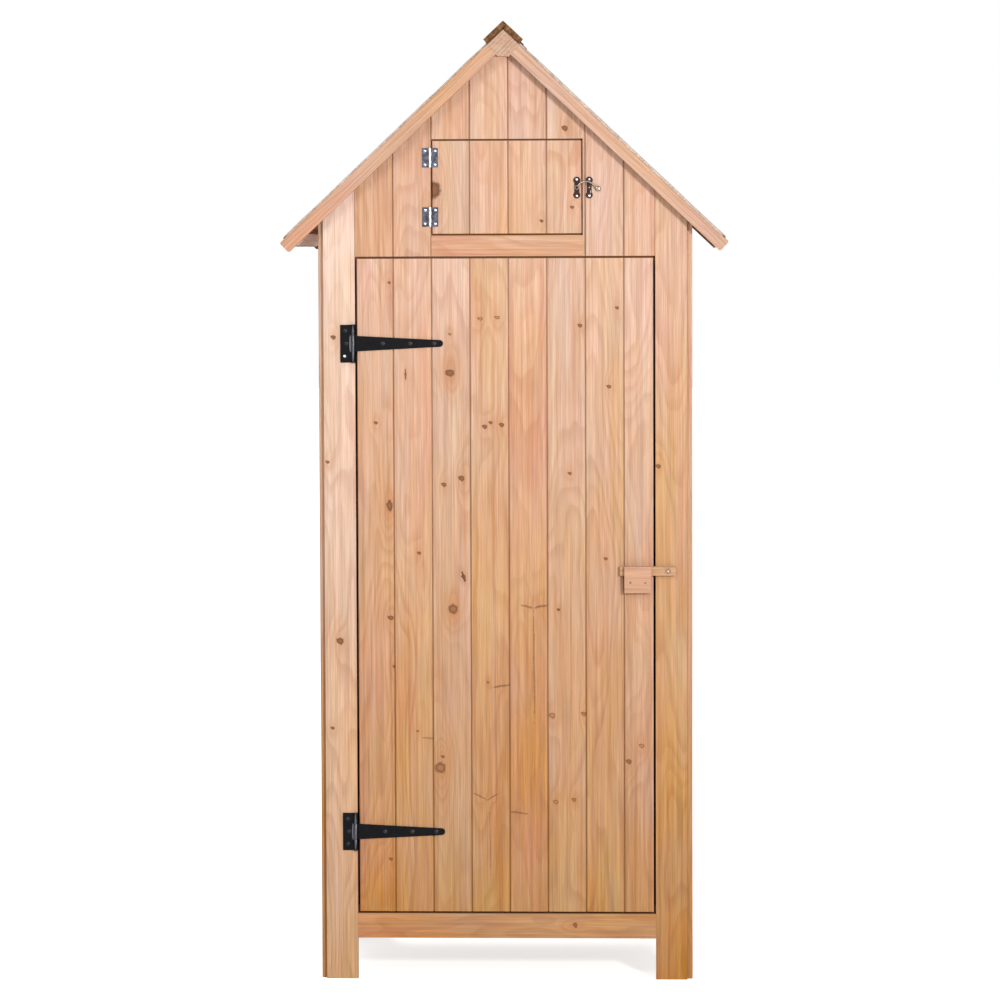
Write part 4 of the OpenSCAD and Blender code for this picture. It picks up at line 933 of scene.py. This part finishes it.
def screw(x, y, z, radius, rise, turn):
    """Rings from the rim to the middle: height = rise (0.35 + 0.65 (1 - (r/R)^2)), less a dip of
    0.8 rise inside two crossed bars of width 0.24 R and length 0.62 R, smooth at their walls."""
    a = np.linspace(0, 2 * np.pi, 48, endpoint=False)
    r = np.concatenate([[1, 1, 0.97], np.linspace(0.93, 0.02, 22)])[:, None]
    up = rise * (0.35 + 0.65 * (1 - r ** 2)) + 0 * a
    up[0] = -0.05
    u, v = r * np.cos(a + turn), r * np.sin(a + turn)
    bars = [(1 - smooth(np.abs(p), 0.09, 0.15)) * (1 - smooth(np.abs(q), 0.52, 0.64))
            for p, q in ((u, v), (v, u))]
    up = up - 0.8 * rise * np.maximum(*bars)
    points = np.stack([x + radius * r * np.cos(a) * MM, y - up * MM,
                       z + radius * r * np.sin(a) * MM], -1).reshape(-1, 3)
    return points, outward(points, grid_faces(len(r), 48, ring=True))


def screws(node, material, body, places, y, radius):
    """One piece for all screws of a node; each is turned its own way."""
    shape = joined([screw(x, y, z, radius, radius * 0.3, 0.7 * i * i)
                    for i, (x, z) in enumerate(places)])
    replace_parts(piece(node + "_crossed", shape, material, body), node)


tee_face, butt_face = FACE - 2 * MM, FACE - 1.2 * MM
plate_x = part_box("upper_hinge_plate")[0].x
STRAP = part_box("upper_hinge_strap")[1].x - TEE_X      # from the pin to the tip
frame_places = [(plate_x + dx, z + dz) for z in TEE_Z
                for dx, dz in ((0.008, -0.0219), (0.008, 0.0219), (0.010, 0.0))]
strap_places = [(TEE_X + STRAP * part, z) for z in TEE_Z for part in (0.327, 0.634, 0.902)]
# Satin black paint; one screw gets a white spot, a painted glint
screws_painted_glint = metal("japanned_screws_painted_glint", "#121216", "#1C1C21", 0.4, 0.0, 9, 1.0, "#FFFFFF",
                 [((plate_x + 0.0072, -0.238, TEE_Z[1] - 0.0212), (0.0021, 0.01, 0.0021))], 0.3)
# Satin black paint that the driver has greyed
worn = metal("rubbed_japanned_screws", "#121216", "#2E2E34", 0.4, 0.0, 3, 1.0, shine=0.3)
screws("frame_screws", screws_painted_glint, "carcase", frame_places, tee_face, 3.4)
screws("door_screws", worn, "door", strap_places, tee_face, 3.4)
LEAF_HOLE, LEAF_HOLE_UP = 0.008704, 0.0117      # from the pin, and from the leaf's middle
for node, body, sign in (("hatch_hinge_screws", "carcase", -1), ("hatch_screws", "hatch", 1)):
    places = [(BUTT_X + sign * LEAF_HOLE, z + dz) for z in BUTT_Z
              for dz in (-LEAF_HOLE_UP, LEAF_HOLE_UP)]
    screws(node, zinc, body, places, butt_face, 2.1)

# %% Bar's screw and the domed screws of the hook
BAR_SCREW = pivots["latch_turn"]
# Zinc with a yellow passivate, which reads as dull brass, and a white middle, a painted highlight
yellow_zinc = metal("yellow_zinc_pivot_screw", "#B58F7C", "#8D6A5A", 0.3, 1.0, 3, 0.8, "#FFFFFF",
                    [((BAR_SCREW[0], -0.247, BAR_SCREW[2]), (0.0009, 0.01, 0.0009))])
dress("latch_pivot_screw", yellow_zinc, 0.3)
# Blue-white zinc mirrors the white studio; its dark rim where it turns away is a painted reflection
lilac_zinc = metal("domed_lilac_zinc_screws", "#E6E0EA", "#CFC8D6", 0.25, 1.0, 3, 0.8,
                   rims="#7D7484")
HOOK = np.array(pivots["hook_pivot"])
for name, body in (("hook_plate", "hatch"), ("hook_keeper", "carcase")):
    domes = [turned([(2.4, -0.1), (2.4, 0.25), (2.1, 0.6), (1.5, 0.9), (0.8, 1.05), (0.05, 1.1)],
                    (middle(name).x, FACE - 1.5 * MM, HOOK[2] + dz)) for dz in (-0.0138, 0.0138)]
    piece(name + "_domed_screws", joined(domes), lilac_zinc, body)

# %% [markdown]
# Two nails hold the latch's keeper block; they were driven home and bruised the wood round them.
# The rest of a nail is hidden, so only the heads are made, turned like the screws.

# %% Keeper nails
# Bare iron that has gone brown, in wood that the hammer crushed
bruised_nail = metal("bruised_nail_heads", "#8A6A5C", "#6A4C40", 0.6, 0.2, 3, 0.8, rims="#A98673")
block_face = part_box("latch_keeper_cover")[0].y
heads = [turned([(1.9, -0.3), (1.9, 0.02), (1.4, 0.15), (0.05, 0.2)], (x, block_face, z))
         for x, z in ((0.2133, 0.6851), (0.2387, 0.6846))]
piece("keeper_nails", joined(heads), bruised_nail, "door")

# %% [markdown]
# ## The hook
# A cast finger hook: a round eye on its rivet, an arm that rises and falls in one arc and widens
# at its end, and a round finger tab. A bevelled curve could draw the arm, but its section would
# stay round; here an oval one is carried along the arc. The eye and the tab are turned.

# %% Hook
def swept(path, wide, thick, around=20):
    """An oval section on a path in the XZ plane: point = path + wide cos a (normal) + thick sin a
    (front); the normal is the path's direction turned by a quarter."""
    way = np.gradient(path, axis=0)
    way /= np.linalg.norm(way, axis=1)[:, None]
    normal = np.stack([-way[:, 2], 0 * way[:, 0], way[:, 0]], -1)[:, None, :]
    a = np.linspace(0, 2 * np.pi, around, endpoint=False)[None, :, None]
    front = np.array([0, -1.0, 0])
    points = (path[:, None, :] + wide[:, None, None] * np.cos(a) * normal
              + thick[:, None, None] * np.sin(a) * front).reshape(-1, 3)
    return points, outward(points, grid_faces(len(path), around, ring=True))


# In millimetres from the rivet: the arm's arc, the bend and tip of its tail, the tab
BOW_RADIUS, BOW_X, BOW_Z = 16.0, 15.6, -5.5
TAIL_BEND, TAIL_TIP = np.array([31.0, 0, 1.0]), np.array([34.5, 0, -1.4])
TAB = np.array([36.0, 0, -1.92])
arc = np.radians(np.linspace(160, 32, 60))
bow = np.stack([BOW_X + BOW_RADIUS * np.cos(arc), 0 * arc, BOW_Z + BOW_RADIUS * np.sin(arc)], -1)
tail_t = np.linspace(0, 1, 20)[1:, None]
tail = (1 - tail_t) ** 2 * bow[-1] + 2 * tail_t * (1 - tail_t) * TAIL_BEND + tail_t ** 2 * TAIL_TIP
path = np.concatenate([bow, tail])
along = np.concatenate([np.zeros(len(arc)), tail_t[:, 0]])
wide = 1.35 + 0.3 * np.sin(np.pi * np.linspace(0, 1, len(path))) + 1.2 * smooth(along, 0.1, 1.0)
wide[-1] = 0.05
arm = swept(path * MM + HOOK, wide * MM, np.full(len(path), 1.1 * MM))

# %% Hook's eye and finger tab
eye = turned([(1.9, -1.0), (2.6, -1.1), (3.6, -1.05), (4.0, -0.4), (4.0, 0.4), (3.6, 1.05),
              (2.6, 1.1), (1.9, 1.0), (1.9, -1.0)], HOOK)
tab = turned([(0.05, -1.1), (4.1, -1.1), (4.5, -0.7), (4.5, -0.2), (4.2, 0.3), (3.7, 0.75),
              (3.1, 1.0), (2.2, 1.08), (0.05, 1.1)], HOOK + TAB * MM)
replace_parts(piece("finger_hook", joined([eye, arm, tab]), hook_bronze_painted_reflection, "hook"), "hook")
